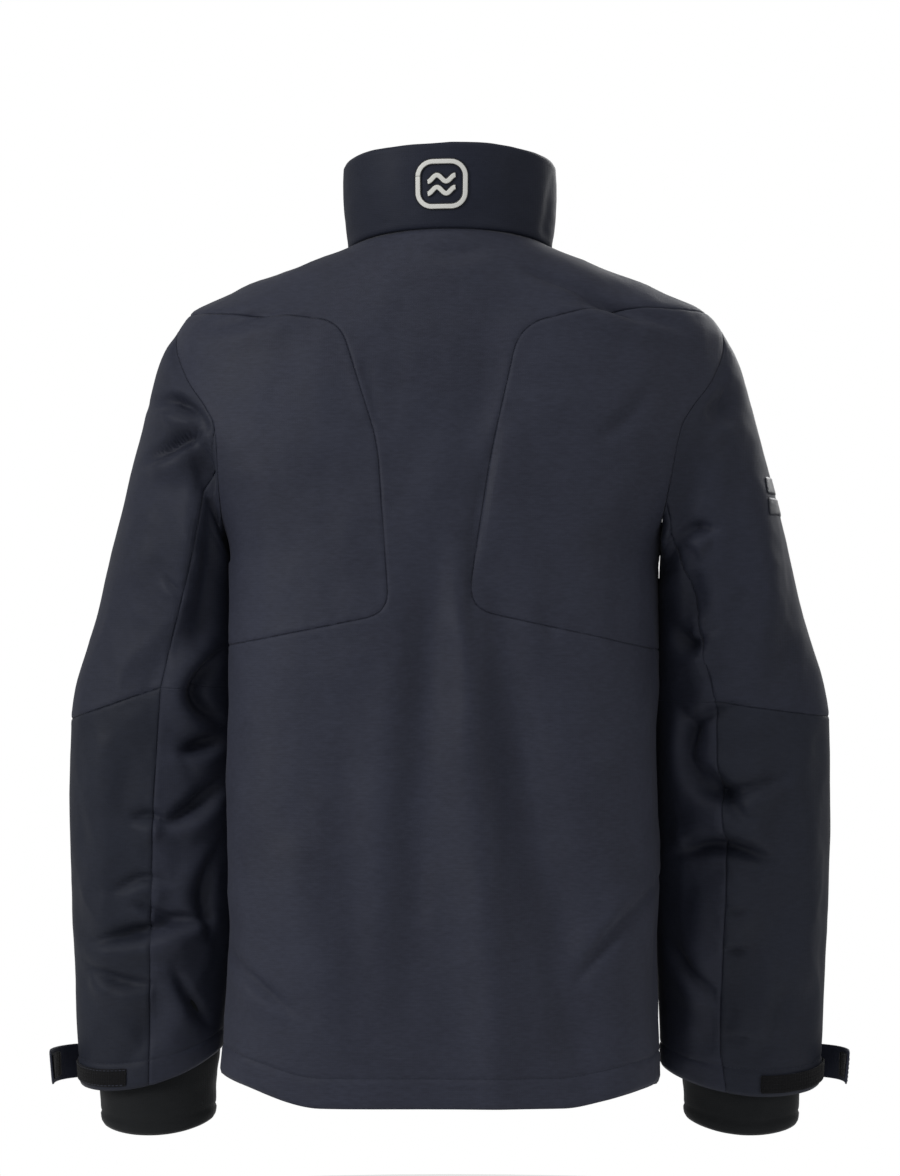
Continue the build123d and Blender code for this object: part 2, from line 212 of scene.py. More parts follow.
def sleevePoint(turn, along, side):
    # turn 0 is the outer edge, a quarter turn is the back; the right sleeve is mirrored later
    rings = [armholeRing(turn)]
    stations = sleeve["stations"] if side == "left" else sleeve["stations"][:2] + sleeve["rightEnd"]
    for _, innerX, innerZ, outerX, outerZ, middleY, depth in stations:
        inner, outer = np.array([innerX, middleY, innerZ]), np.array([outerX, middleY, outerZ])
        ring = (inner + outer) / 2 + np.cos(turn)[:, None] * (outer - inner) / 2
        ring[:, 1] += np.sin(turn) * depth
        rings.append(ring)
    places = [0] + [s[0] for s in sleeve["stations"]]
    points = throughStations(places, np.array(rings), along)
    atBack = np.clip(np.sin(turn), 0, 1) ** 1.5
    points[:, 2] -= sleeve["cuffDip"] * atBack * ramp(along, 540, sleeve["length"])
    return points


# folds: each is a line in the back view, in mm, with how wide and how high it is
def eased(route, rounds=3):
    # cuts the corners off a route, so that a fold bends instead of turning
    route = np.array(route, float)
    for _ in range(rounds if len(route) > 2 else 0):
        a, b = route[:-1], route[1:]
        cut = np.stack([a * 0.75 + b * 0.25, a * 0.25 + b * 0.75], 1).reshape(-1, 2)
        route = np.concatenate([route[:1], cut[1:-1], route[-1:]])
    return route


def foldHeight(x, z, folds):
    height = np.zeros(len(x))
    for kind, width, depth, route in folds:
        route = eased(route)
        legs = np.linalg.norm(np.diff(route, axis=0), axis=1)
        total, run = legs.sum(), 0.0
        best = np.full(len(x), 1e9)
        side, place = np.zeros(len(x)), np.zeros(len(x))
        for start, end, leg in zip(route[:-1], route[1:], legs):
            d = (end - start) / leg
            px, pz = x - start[0], z - start[1]
            t = np.clip(px * d[0] + pz * d[1], 0, leg)
            offX, offZ = px - t * d[0], pz - t * d[1]
            away = np.hypot(offX, offZ)
            closer = away < best
            best = np.where(closer, away, best)
            side = np.where(closer, np.where(d[0] * offZ - d[1] * offX > 0, away, -away), side)
            place = np.where(closer, (run + t) / total, place)
            run += leg
        fade = np.sin(np.pi * np.clip(place, 0.02, 0.98)) ** 0.6
        s = side / (width * (0.55 + 0.45 * fade))
        if kind == "ridge":
            shape = np.exp(-s**2)
        elif kind == "valley":
            shape = -np.exp(-s**2)
        else:  # a crease: a sharp valley with a rounded lip on the side left of its route
            shape = 0.6 * np.exp(-((s - 1.3) / 1.1) ** 2) - 1.1 * np.exp(-((s / 0.55) ** 2))
        height += depth * fade * shape
    return height


def crumple(points, size, height, seed):
    # the flats and sharp ridges that a stiff laminate breaks into: coherent noise with fixed seeds
    out = np.empty(len(points))
    for i, p in enumerate(points / size):
        out[i] = abs(noise.noise(Vector((p[0] + seed, p[1] - seed, p[2] * 0.75))))
    return (0.25 - out) * 2 * height


def ripple(points, size, height, seed):
    # soft unevenness that every hanging cloth has
    out = np.empty(len(points))
    for i, p in enumerate(points / size):
        out[i] = noise.noise(Vector((p[0] + seed, p[1] * 0.8 - seed, p[2])))
    return out * height


def unevenness(points, waves, flats=()):
    soft = sum(ripple(points, *wave) for wave in waves)
    return soft + sum(crumple(points, *flat) for flat in flats)


bodyFolds = [
    ("ridge", 23, 11.5, [(-8, -250), (-14, -340), (-24, -500), (-42, -735)]),
    ("valley", 24, 12.5, [(-30, -290), (-56, -440), (-92, -600), (-124, -745)]),
    ("valley", 22, 7.5, [(-40, -70), (-12, -210), (16, -330), (26, -450), (34, -640)]),
    ("ridge", 20, 4.0, [(40, -330), (52, -470), (60, -650)]),
    ("crease", 9, 5.5, [(-64, -36), (-110, -52), (-160, -80)]),
    ("ridge", 34, 4.5, [(-95, -330), (-125, -470), (-150, -620)]),
    ("crease", 13, 3.6, [(-44, -160), (-26, -215), (-16, -300), (-22, -370)]),
    ("ridge", 22, 3.5, [(-10, -170), (10, -250), (8, -330)]),
    ("crease", 9, 5.0, [(188, -606), (158, -632), (130, -652)]),
    ("crease", 10, 5.6, [(-176, -548), (-140, -582), (-104, -632)]),
    ("ridge", 22, 3.4, [(132, -500), (116, -600), (108, -700)]),
    ("valley", 20, 2.6, [(88, -430), (78, -560), (70, -690)]),
    ("crease", 11, 5.0, [(-84, -60), (-140, -66), (-200, -84)]),
    ("crease", 11, 4.4, [(205, -84), (170, -74), (120, -60)]),
    ("valley", 18, 2.6, [(-56, -200), (-88, -270), (-82, -340)]),
    ("crease", 8, 2.0, [(-74, -320), (-90, -348)]),
    ("crease", 7, 1.6, [(72, -110), (60, -160)]),
    ("crease", 13, 3.0, [(-168, -130), (-150, -160), (-120, -180)]),
    ("ridge", 16, 2.4, [(168, -170), (150, -240), (152, -330)]),
    ("valley", 14, 2.4, [(-160, -230), (-140, -300), (-146, -360)]),
    ("crease", 10, 2.0, [(30, -14), (0, -24), (-40, -16)]),
]
frontFolds = [
    ("ridge", 30, 5.0, [(90, -150), (100, -330), (84, -520), (90, -700)]),
    ("valley", 24, 4.5, [(140, -300), (128, -480), (134, -700)]),
    ("ridge", 28, 5.0, [(-96, -160), (-88, -350), (-102, -560), (-92, -710)]),
    ("valley", 22, 4.0, [(-136, -260), (-144, -450), (-130, -690)]),
    ("crease", 13, 3.5, [(170, -200), (120, -170), (80, -150)]),
    ("crease", 13, 3.5, [(-170, -190), (-125, -170), (-84, -140)]),
    ("crease", 11, 3.0, [(160, -640), (120, -600), (70, -590)]),
    ("crease", 11, 3.0, [(-160, -620), (-118, -588), (-60, -600)]),
]
sleeveFolds = {
    "left": [
        ("crease", 10, 6.5, [(262, -146), (226, -142), (192, -170)]),
        ("crease", 10, 6.0, [(262, -196), (230, -180), (200, -166)]),
        ("valley", 12, 7.0, [(216, -176), (202, -200), (196, -226)]),
        ("ridge", 14, 4.0, [(214, -215), (222, -280), (236, -340)]),
        ("valley", 12, 4.0, [(200, -235), (204, -300), (214, -350)]),
        ("crease", 5, 1.8, [(241, -292), (226, -306)]),
        ("crease", 12, 8.0, [(190, -352), (226, -392), (190, -420)]),
        ("crease", 12, 7.0, [(228, -440), (206, -432), (186, -424)]),
        ("crease", 12, 7.0, [(242, -502), (214, -486), (190, -462)]),
        ("crease", 9, 4.0, [(272, -498), (256, -494), (240, -500)]),
        ("crease", 11, 6.5, [(304, -604), (262, -594), (208, -582)]),
        ("crease", 8, 3.0, [(288, -560), (262, -546), (240, -552)]),
        ("crease", 8, 3.4, [(268, -570), (240, -584), (222, -580)]),
        ("crease", 10, 3.6, [(308, -626), (280, -640), (252, -640)]),
        ("ridge", 16, 3.4, [(296, -420), (300, -520), (296, -640)]),
        ("crease", 10, 4.0, [(196, -520), (214, -560), (206, -600)]),
        ("valley", 12, 3.0, [(250, -660), (262, -690), (280, -712)]),
        ("crease", 9, 3.0, [(236, -630), (220, -660), (206, -680)]),
    ],
    "right": [
        ("crease", 11, 6.5, [(-176, -160), (-196, -128), (-214, -108)]),
        ("valley", 13, 6.0, [(-214, -160), (-240, -142), (-252, -128)]),
        ("crease", 10, 5.0, [(-196, -256), (-206, -250), (-222, -252)]),
        ("crease", 12, 7.0, [(-190, -334), (-202, -352), (-212, -346)]),
        ("valley", 12, 4.5, [(-198, -286), (-204, -304), (-206, -330)]),
        ("ridge", 18, 5.0, [(-262, -200), (-270, -280), (-262, -380)]),
        ("ridge", 13, 6.5, [(-184, -240), (-182, -276), (-180, -312)]),
        ("crease", 12, 5.2, [(-238, -402), (-208, -412), (-200, -446), (-216, -478), (-250, -474),
                             (-284, -462)]),
        ("crease", 12, 5.0, [(-250, -500), (-232, -470), (-206, -452)]),
        ("crease", 12, 7.5, [(-272, -532), (-240, -520), (-214, -520), (-190, -532)]),
        ("crease", 5, 2.4, [(-254, -574), (-244, -576), (-234, -575)]),
        ("crease", 5, 2.4, [(-256, -609), (-246, -611), (-234, -612)]),
        ("crease", 5, 2.0, [(-258, -686), (-248, -688), (-236, -686)]),
        ("ridge", 15, 3.6, [(-214, -556), (-211, -620), (-206, -700)]),
        ("ridge", 26, 4.5, [(-222, -546), (-236, -572), (-232, -610)]),
        ("ridge", 13, 2.6, [(-290, -690), (-256, -672), (-222, -672)]),
        ("crease", 11, 5.0, [(-182, -600), (-208, -632), (-228, -652)]),
        ("ridge", 16, 3.0, [(-300, -430), (-306, -540), (-300, -660)]),
        ("crease", 9, 3.4, [(-196, -400), (-206, -420), (-200, -446)]),
        ("valley", 11, 3.0, [(-290, -640), (-282, -680), (-262, -706)]),
    ],
}


def routeDistance(x, z, route):
    # signed distance to an open route, positive on the left of its direction
    best, side = np.full(len(x), 1e9), np.zeros(len(x))
    route = np.array(route, float)
    for start, end in zip(route[:-1], route[1:]):
        d = end - start
        leg = np.hypot(*d)
        d = d / leg
        px, pz = x - start[0], z - start[1]
        t = np.clip(px * d[0] + pz * d[1], 0, leg)
        offX, offZ = px - t * d[0], pz - t * d[1]
        away = np.hypot(offX, offZ)
        closer = away < best - 1e-9
        best = np.where(closer, away, best)
        side = np.where(closer, np.sign(d[0] * pz - d[1] * px), side)
    return best * side


def roundedRoute(corners, radius, steps=7):
    # the corners joined by straight runs, each inner corner rounded
    corners = [Vector(c) for c in corners]
    out = [corners[0]]
    for before, corner, after in zip(corners[:-2], corners[1:-1], corners[2:]):
        a, b = (before - corner).normalized(), (after - corner).normalized()
        reach = min(radius, (before - corner).length * 0.48, (after - corner).length * 0.48)
        p, q = corner + a * reach, corner + b * reach
        for n in range(steps + 1):
            t = n / steps
            out.append(p * (1 - t) ** 2 + corner * 2 * t * (1 - t) + q * t**2)
    out.append(corners[-1])
    return [tuple(c) for c in out]


panelSeam = {
    "left": roundedRoute([(260, -66), (150, -72), (92, -78), (60, -180), (50, -322), (200, -352)], 20),
    "right": roundedRoute([(-246, -66), (-130, -66), (-58, -82), (-34, -190), (-14, -318), (-190, -356)],
                          24),
}


def paramGrid(uRange, vRange, uCount, vCount):
    # a flat grid over two parameters, kept in x and y
    mesh = bmesh.new()
    us = np.linspace(*uRange, uCount + 1)
    vs = np.linspace(*vRange, vCount + 1)
    rows = [[mesh.verts.new((u, v, 0)) for u in us] for v in vs]
    for low, high in zip(rows[:-1], rows[1:]):
        for a, b, c, d in zip(low[:-1], low[1:], high[1:], high[:-1]):
            mesh.faces.new((a, d, c, b))
    return mesh


def paramsOf(mesh):
    co = np.array([v.co for v in mesh.verts])
    return co[:, 0], co[:, 1]


def cutAlong(mesh, distance, offsets, stitched=()):
    # cuts the grid where distance(u, v) takes each of the offsets; stitched ones are marked
    mark = mesh.edges.layers.int.get("stitched") or mesh.edges.layers.int.new("stitched")
    for offset in offsets:
        u, v = paramsOf(mesh)
        for vert, height in zip(mesh.verts, distance(u, v) - offset):
            vert.co.z = height
        geometry = mesh.verts[:] + mesh.edges[:] + mesh.faces[:]
        cut = bmesh.ops.bisect_plane(mesh, geom=geometry, dist=1e-5, plane_co=(0, 0, 0),
                                     plane_no=(0, 0, 1))
        if offset in stitched:
            for edge in cut["geom_cut"]:
                if isinstance(edge, bmesh.types.BMEdge):
                    edge[mark] = 1
    for vert in mesh.verts:
        vert.co.z = 0


def gridArrays(mesh):
    mesh.verts.index_update()
    u, v = paramsOf(mesh)
    mark = mesh.edges.layers.int.get("stitched")
    faces = [[vert.index for vert in face.verts] for face in mesh.faces]
    marked = [(e.verts[0].index, e.verts[1].index) for e in mesh.edges if mark and e[mark]]
    mesh.free()
    return u, v, faces, marked


def makePiece(name, points, faces, finishes):
    # points are in mm; only the ones that the faces use are kept
    used = sorted({i for face in faces for i in face})
    index = {old: new for new, old in enumerate(used)}
    mesh = bpy.data.meshes.new(name)
    mesh.from_pydata([tuple(points[i] * mm) for i in used], [], [[index[i] for i in f] for f in faces])
    mesh.validate()
    mesh.polygons.foreach_set("use_smooth", [True] * len(mesh.polygons))
    piece = bpy.data.objects.new(name, mesh)
    scene.collection.objects.link(piece)
    for finish in finishes:
        mesh.materials.append(finish)
    return piece


def thicken(piece, thickness, offset=-1):
    solid = piece.modifiers.new("thickness", "SOLIDIFY")
    solid.thickness = thickness * mm
    solid.offset = offset
    solid.use_even_offset = False
    if len(piece.data.materials) > 1:
        solid.material_offset = 1
    return piece


# each stitch is a bead: its stations along (share of half its length, share of its width), and the
# points across it (share of half its width, share of its height)
stitch = {
    "length": 2.7,
    "pitch": 3.7,
    "width": 0.75,
    "rise": 0.3,
    "along": ((-1, 0.35), (-0.7, 0.9), (0, 1), (0.7, 0.9), (1, 0.35)),
    "across": ((-1, -0.25), (-0.6, 0.7), (0.6, 0.7), (1, -0.25)),
}


def chains(edges):
    # joins loose edges into runs of points
    near = {}
    for a, b in edges:
        near.setdefault(a, []).append(b)
        near.setdefault(b, []).append(a)
    seen, runs = set(), []
    starts = sorted(near, key=lambda i: (len(near[i]) == 2, i))
    for start in starts:
        if start in seen:
            continue
        run = [start]
        seen.add(start)
        while True:
            onward = [i for i in near[run[-1]] if i not in seen]
            if not onward:
                break
            run.append(onward[0])
            seen.add(onward[0])
        if len(run) > 1:
            runs.append(run)
    return runs


def stitchesOn(name, lines):
    # each line is its points and their normals, in mm
    points, quads = [], []
    for places, normals in lines:
        legs = np.linalg.norm(np.diff(places, axis=0), axis=1)
        run = np.concatenate([[0], np.cumsum(legs)])
        for at in np.arange(stitch["pitch"] / 2, run[-1], stitch["pitch"]):
            ends = [at - stitch["length"] / 2, at + stitch["length"] / 2]
            a, b = (np.array([np.interp(e, run, places[:, k]) for k in range(3)]) for e in ends)
            n = np.array([np.interp(at, run, normals[:, k]) for k in range(3)])
            along = b - a
            if np.linalg.norm(along) < 1e-6:
                continue
            along = along / np.linalg.norm(along)
            across = np.cross(n, along) * stitch["width"] / 2
            middle, reach = (a + b) / 2, stitch["length"] / 2
            base = len(points)
            for share, wide in stitch["along"]:
                spot = middle + along * share * reach
                sink = stitch["rise"] * (0.2 - share**2)
                for side, lift in stitch["across"]:
                    points.append(spot + across * side * wide + n * (sink + lift * stitch["rise"]))
            for k in range(4):
                for m in range(3):
                    i = base + 4 * k + m
                    quads.append([i, i + 4, i + 5, i + 1])
    return makePiece(name, np.array(points), quads, [thread])


def stitchRun(name, places, normals, marked, corners):
    chosen = [(a, b) for a, b in marked if a in corners and b in corners]
    lines = [(places[run], normals[run]) for run in chains(chosen)]
    piece = stitchesOn(name, lines)
    return piece


def outwardPoints(pointAt, u, v, height, hand=1):
    # moves each point of a surface out along its own normal; hand is -1 on a mirrored surface
    du, dv = 1e-3, 0.5
    here = pointAt(u, v)
    across = pointAt(u + du, v) - pointAt(u - du, v)
    down = pointAt(u, np.minimum(v + dv, pointAt.limit)) - pointAt(u, np.maximum(v - dv, 0))
    normal = np.cross(down, across) * hand
    normal /= np.maximum(np.linalg.norm(normal, axis=1), 1e-9)[:, None]
    return here + normal * height(u, v, here, normal)[:, None], normal


def seamRelief(distance):
    # the cloth dips at a seam and stands a little over the allowance under it
    away = np.abs(distance)
    return 0.2 * np.exp(-((away - 4.2) / 2.2) ** 2) - 0.75 * np.exp(-((away / 0.9) ** 2))


seamLoops = (0, -1.2, 1.2, -3.2, 3.2, -6, 6)      # rows of vertices beside a seam, in mm from it


def linearColour(hexCode):
    parts = [int(hexCode[i:i + 2], 16) / 255 for i in (1, 3, 5)]
    return [p / 12.92 if p <= 0.04045 else ((p + 0.055) / 1.055) ** 2.4 for p in parts] + [1.0]


def addNode(material, kind, links=None, **settings):
    # one node, with its sockets set or linked by name
    node = material.node_tree.nodes.new(kind)
    for name, value in settings.items():
        setattr(node, name, value)
    for socket, value in (links or {}).items():
        target = node.inputs[socket]
        if isinstance(value, bpy.types.NodeSocket):
            material.node_tree.links.new(value, target)
        else:
            target.default_value = value
    return node


def newFinish(name):
    material = bpy.data.materials.new(name)
    material.use_nodes = True
    material.node_tree.nodes.clear()
    return material


def closeFinish(material, shader):
    addNode(material, "ShaderNodeOutputMaterial", {"Surface": shader.outputs["BSDF"]})
    return material


weave = {
    "slub": (140, 140, 520),    # per metre: slubs about 7 mm long and 2 mm high
    "patch": 14,                # per metre: patches of dye about 70 mm across
    "mottle": 0.5,              # a larger value makes both of them fainter
    "relief": 0.5,
    "specular": 0.22,
    "napRoughness": 0.45,
}


def wovenFinish(name, dark, light, threadMm, roughness, depthMm, sheen):
    # crossed threads, slubs, uneven dye and a soft nap that lifts at grazing angles; the real threads
    # are about 0.3 mm apart, too fine to show, so threadMm draws them coarser
    m = newFinish(name)
    place = addNode(m, "ShaderNodeTexCoord").outputs["Object"]
    scale = math.pi / 10 / (threadMm * mm)         # one wave band is a thread wide
    bands = [addNode(m, "ShaderNodeTexWave", {"Vector": place, "Scale": scale, "Distortion": 0.6,
                     "Detail": 1, "Detail Scale": 2.0}, bands_direction=way).outputs["Fac"]
             for way in ("X", "Z")]
    threads = addNode(m, "ShaderNodeMath", {0: bands[0], 1: bands[1]}, operation="MAXIMUM").outputs[0]
    streak = addNode(m, "ShaderNodeMapping", {"Vector": place, "Scale": weave["slub"]}).outputs[0]
    slub = addNode(m, "ShaderNodeTexNoise", {"Vector": streak, "Scale": 1, "Detail": 3}).outputs["Fac"]
    patch = addNode(m, "ShaderNodeTexNoise", {"Vector": place, "Scale": weave["patch"], "Detail": 5,
                    "Roughness": 0.6}).outputs["Fac"]
    blendAmount = addNode(m, "ShaderNodeMath", {0: slub, 1: patch}, operation="ADD").outputs[0]
    spread = addNode(m, "ShaderNodeMapRange", {"Value": blendAmount, "From Min": 1 - weave["mottle"],
                     "From Max": 1 + weave["mottle"]}).outputs[0]
    mix = addNode(m, "ShaderNodeMix", {"Factor": spread, "A": linearColour(dark),
                  "B": linearColour(light)}, data_type="RGBA")
    fine = addNode(m, "ShaderNodeBump", {"Height": threads, "Strength": weave["relief"],
                   "Distance": depthMm * mm}).outputs[0]
    rough = addNode(m, "ShaderNodeMapRange", {"Value": patch, "From Min": 0.3, "From Max": 0.7,
                    "To Min": roughness - 0.05, "To Max": roughness + 0.07}).outputs[0]
    shader = addNode(m, "ShaderNodeBsdfPrincipled", {"Base Color": mix.outputs["Result"],
                     "Roughness": rough, "Normal": fine, "Sheen Weight": sheen,
                     "Sheen Roughness": weave["napRoughness"],
                     "Specular IOR Level": weave["specular"]})
    return closeFinish(m, shader)


moulding = {"grain": 900, "rub": 60, "depth": 0.04}    # per metre, so 1.1 and 17 mm; depth in mm


def mouldedFinish(name, colour, roughness, metallic=0.0):
    # moulded, cast or printed: even colour, a fine grain and slightly rubbed patches
    m = newFinish(name)
    place = addNode(m, "ShaderNodeTexCoord").outputs["Object"]
    grain, rub = (addNode(m, "ShaderNodeTexNoise", {"Vector": place, "Scale": moulding[key],
                          "Detail": detail}).outputs["Fac"] for key, detail in (("grain", 3), ("rub", 4)))
    rough = addNode(m, "ShaderNodeMapRange", {"Value": rub, "From Min": 0.35, "From Max": 0.7,
                    "To Min": roughness - 0.06, "To Max": roughness + 0.08}).outputs[0]
    bump = addNode(m, "ShaderNodeBump", {"Height": grain, "Strength": 0.35,
                   "Distance": moulding["depth"] * mm}).outputs[0]
    shader = addNode(m, "ShaderNodeBsdfPrincipled", {"Base Color": linearColour(colour),
                     "Roughness": rough, "Metallic": metallic, "IOR": 1.5, "Normal": bump})
    return closeFinish(m, shader)


# nylon face laminated to a membrane: matt navy, the threads only just seen
shellCloth = wovenFinish("navyShellLaminate", "#222430", "#313442", 1.5, 0.62, 0.10, 0.03)
# the same laminate on the sleeves and the collar, painted a shade darker on each: painted shade for the
# weaker light that falls on them
sleeveShadedCloth = wovenFinish("navySleeveLaminatePaintedShade", "#1d202b", "#292c3a", 1.5, 0.62, 0.10, 0.03)
collarShadedCloth = wovenFinish("navyCollarLaminatePaintedShade", "#161a27", "#1f2331", 1.5, 0.62, 0.10, 0.03)
# the laminate of the outer forearm: matt, and darker than the sleeve above it, partly a step in tone at its
# seam and partly painted shade for the dimmer light on the lower sleeve
forearmClothAndShade = wovenFinish("navyForearmLaminateAndPaintedShade", "#161924", "#212531", 1.5, 0.62, 0.10, 0.03)
# tricot knit bonded behind the membrane: dull grey-navy with a faint nap
backingKnit = wovenFinish("tricotBacking", "#1b1d24", "#2a2d36", 2.0, 0.85, 0.16, 0.25)
# brushed polyester knit: soft and dull, with a pale bloom at its edges
collarKnit = wovenFinish("brushedCollarKnit", "#191b22", "#262933", 2.2, 0.9, 0.3, 0.5)
# woven polyester tape beside the teeth: flat and nearly black
zipTapeCloth = wovenFinish("polyesterZipTape", "#14151a", "#1d1f26", 1.2, 0.8, 0.12, 0.1)
# woven nylon tape of the hanger loop: ribbed and dull
webbingCloth = wovenFinish("wovenTape", "#16181f", "#22252e", 1.4, 0.8, 0.2, 0.15)
# chloroprene foam faced with knit: dull, nearly black, a little green
sealFoam = wovenFinish("knitFacedFoam", "#131517", "#191b1d", 1.8, 0.88, 0.2, 0.15)
# hook and loop strip: black nylon, drinks the light
loopNylon = wovenFinish("loopNylon", "#08080a", "#101013", 1.6, 0.95, 0.5, 0.08)
# twisted polyester sewing thread: a touch glossier than the cloth under it
thread = wovenFinish("sewingThread", "#1d202b", "#2b2f3d", 0.8, 0.6, 0.1, 0.1)
# injection-moulded acetal teeth: black with a soft gloss
zipTeethPlastic = mouldedFinish("mouldedAcetal", "#121317", 0.42)
# zinc casting under a black coat: the sharpest glints on the jacket
castSlider = mouldedFinish("blackCoatedCasting", "#1b1c20", 0.34, metallic=0.6)
# moulded rubbery grip of the pulls: even and dull
pullPlastic = mouldedFinish("mouldedPullGrip", "#1a1b1f", 0.55)
# reflective transfer: light grey glass beads in clear resin, smooth to the touch
badgeFilm = mouldedFinish("lightGreyTransfer", "#d6d6d1", 0.45)
# the printed black edge under that transfer: flat, a dark line round the grey
badgeEdge = mouldedFinish("blackTransferEdge", "#0c0c0e", 0.5)
# raised silicone print: the cloth's own colour, told from it only by its gloss and its step
raisedPrint = mouldedFinish("raisedSiliconePrint", "#20232e", 0.5)


# the seams and edges: each function is the distance in mm to one side of a line on the body
def backSide(points):
    return points[:, 1] - body["sideY"]


def armholeGap(u, v):
    return alongBody("halfWidth", v, armhole) - np.abs(evenBodyPoint(u, v)[:, 0])


panels = {
    "sideFront": -62,       # Y of the seam between side panel and front
    "sideTop": 262,         # drop at which the side panel starts
    "yokeZ": -128,          # height of the yoke seam at the zip
    "yokeRise": 0.0016,     # and how fast it climbs away from there
    "foldWidth": 11,        # the front bends over this far each side of its hinge line
}


def upperPanel(side):
    sign = 1 if side == "left" else -1

    def distance(u, v):
        p = bodyPoint(u, v)
        return np.minimum(sign * routeDistance(p[:, 0], p[:, 2], panelSeam[side]), backSide(p))
    return distance


def sidePanel(u, v):
    p = bodyPoint(u, v)
    return np.minimum(np.minimum(-backSide(p), p[:, 1] - panels["sideFront"]), v - panels["sideTop"])


def yokePanel(u, v):
    p = bodyPoint(u, v)
    return np.minimum(-backSide(p), p[:, 2] - panels["yokeZ"] - panels["yokeRise"] * p[:, 0] ** 2)


zipGap = {"half": 6.6, "flat": 40}      # half the gap between the fronts; flat cloth beside it


def zipEdge(u, v):
    p = bodyPoint(u, v)
    return np.where(p[:, 1] < 0, np.abs(p[:, 0]) - zipGap["half"], 60)


# each pocket's slit in the front: its middle X and Z, half width and half length
pocketSlits = [(-130, -510, 4.9, 77), (130, -510, 4.9, 77), (105, -212, 4.9, 53)]
slitFlat = (13, 46)         # the cloth is flat up to this far from a slit, then takes its folds


def pocketSlit(u, v):
    p = bodyPoint(u, v)
    nearest = np.full(len(u), 200.0)
    for x, z, halfWide, halfLong in pocketSlits:
        gap = np.maximum(np.abs(p[:, 0] - x) * 1.12 - halfWide, np.abs(p[:, 2] - z) - halfLong)
        nearest = np.minimum(nearest, np.where(p[:, 1] < 0, gap, 200))
    return nearest


def backFront(u, v):
    return backSide(bodyPoint(u, v))


bodySeams = {
    "upperLeft": upperPanel("left"),
    "upperRight": upperPanel("right"),
    "side": sidePanel,
    "yoke": yokePanel,
    "backFront": backFront,
}
hemLine = body["length"] - body["hemStitch"]


def bodyHeight(u, v, points, normal):
    x, y, z = points.T
    behind = ramp(normal[:, 1], -0.15, 0.35)
    folds = foldHeight(x, z, bodyFolds) * behind + foldHeight(x, z, frontFolds) * (1 - behind)
    soft = unevenness(points, body["waves"], body["flats"])
    slit, zipSide = pocketSlit(u, v), zipEdge(u, v)
    calm = ramp(armholeGap(u, v), 0, 16) * ramp(v, 0, 18)
    calm = calm * np.where(y < 0, ramp(zipSide, 0, zipGap["flat"]) * ramp(slit, *slitFlat), 1)
    height = (folds + soft) * calm
    pressed = np.exp(-((y + 15) / 34) ** 2) * ramp(-normal[:, 0], 0.7, 0.95) * ramp(v, 380, 430)
    height -= body["pressedIn"] * pressed
    pucker = ripple(points, *body["pucker"])
    for seam in bodySeams.values():
        gap = seam(u, v)
        height = height + seamRelief(gap) + pucker * 0.3 * np.exp(-((np.abs(gap) - 6) / 5) ** 2)
    height += seamRelief(v - hemLine) * 0.7 + 0.8 * ramp(v, hemLine, hemLine + 4)
    # the cloth rolls in at its edges: the hem, the slits and the zip
    height -= 1.2 * ramp(v, body["length"] - 3, body["length"]) + 0.8 * (1 - ramp(slit, 0, 1.6))
    height -= 0.9 * (1 - ramp(zipSide, 0, 1.6))
    return height


grid = paramGrid((-math.pi / 2 + body["split"], 1.5 * math.pi - body["split"]), (0, body["length"]),
                 int(body["girth"] / body["grid"]), int(body["length"] / body["grid"]))
for name, seam in bodySeams.items():
    cutAlong(grid, seam, seamLoops)
cutAlong(grid, lambda u, v: v - hemLine, (-1.2, 0, 1.2), stitched=(0,))
cutAlong(grid, armholeGap, (0, 1.4, 4))
cutAlong(grid, zipEdge, (0, 1.4, 5), stitched=(5,))
cutAlong(grid, pocketSlit, (0, 1.2, 4), stitched=(4,))
turn, drop, faces, bodyStitches = gridArrays(grid)
print("body grid:", len(faces), "faces")
seamGap = {name: seam(turn, drop) for name, seam in bodySeams.items()}
onBody = bodyPoint(turn, drop)
edgeGap = {"armhole": armholeGap(turn, drop), "zip": zipEdge(turn, drop), "slit": pocketSlit(turn, drop)}
bodySurface, bodyNormal = outwardPoints(bodyPoint, turn, drop, bodyHeight)


def isFace(values):
    # for each face, whether its middle is on the positive side
    return np.array([values[face].mean() > 0 for face in faces])


inUpper = {side: isFace(seamGap["upper" + side.capitalize()]) for side in ("left", "right")}
keepFace = isFace(edgeGap["armhole"]) & isFace(edgeGap["zip"]) & isFace(edgeGap["slit"])
isBackFace, isSideFace = isFace(seamGap["backFront"]), isFace(seamGap["side"])
isYokeFace, isLeftFace = isFace(seamGap["yoke"]), isFace(onBody[:, 0])


def bodyPanel(name, chosen):
    picked = [face for face, use in zip(faces, chosen & keepFace) if use]
    piece = makePiece(name, bodySurface, picked, [shellCloth, backingKnit])
    return thicken(piece, body["cloth"]), {i for face in picked for i in face}


joints = {joint["name"]: joint for joint in frame["record"]["behaviour"]["joints"]}


def foldBlend(piece, side):
    # reads the hinge of the front and bakes the piece's placement into its mesh; the front is not bent
    joint = joints[f"front_{side}_swing"]
    place, axis = Vector(joint["pos_m"]), Vector(joint["axis"])
    inward = Vector((0, 1, 0)).cross(axis).normalized()
    if inward.x * place.x > 0:
        inward = -inward
    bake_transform(piece)


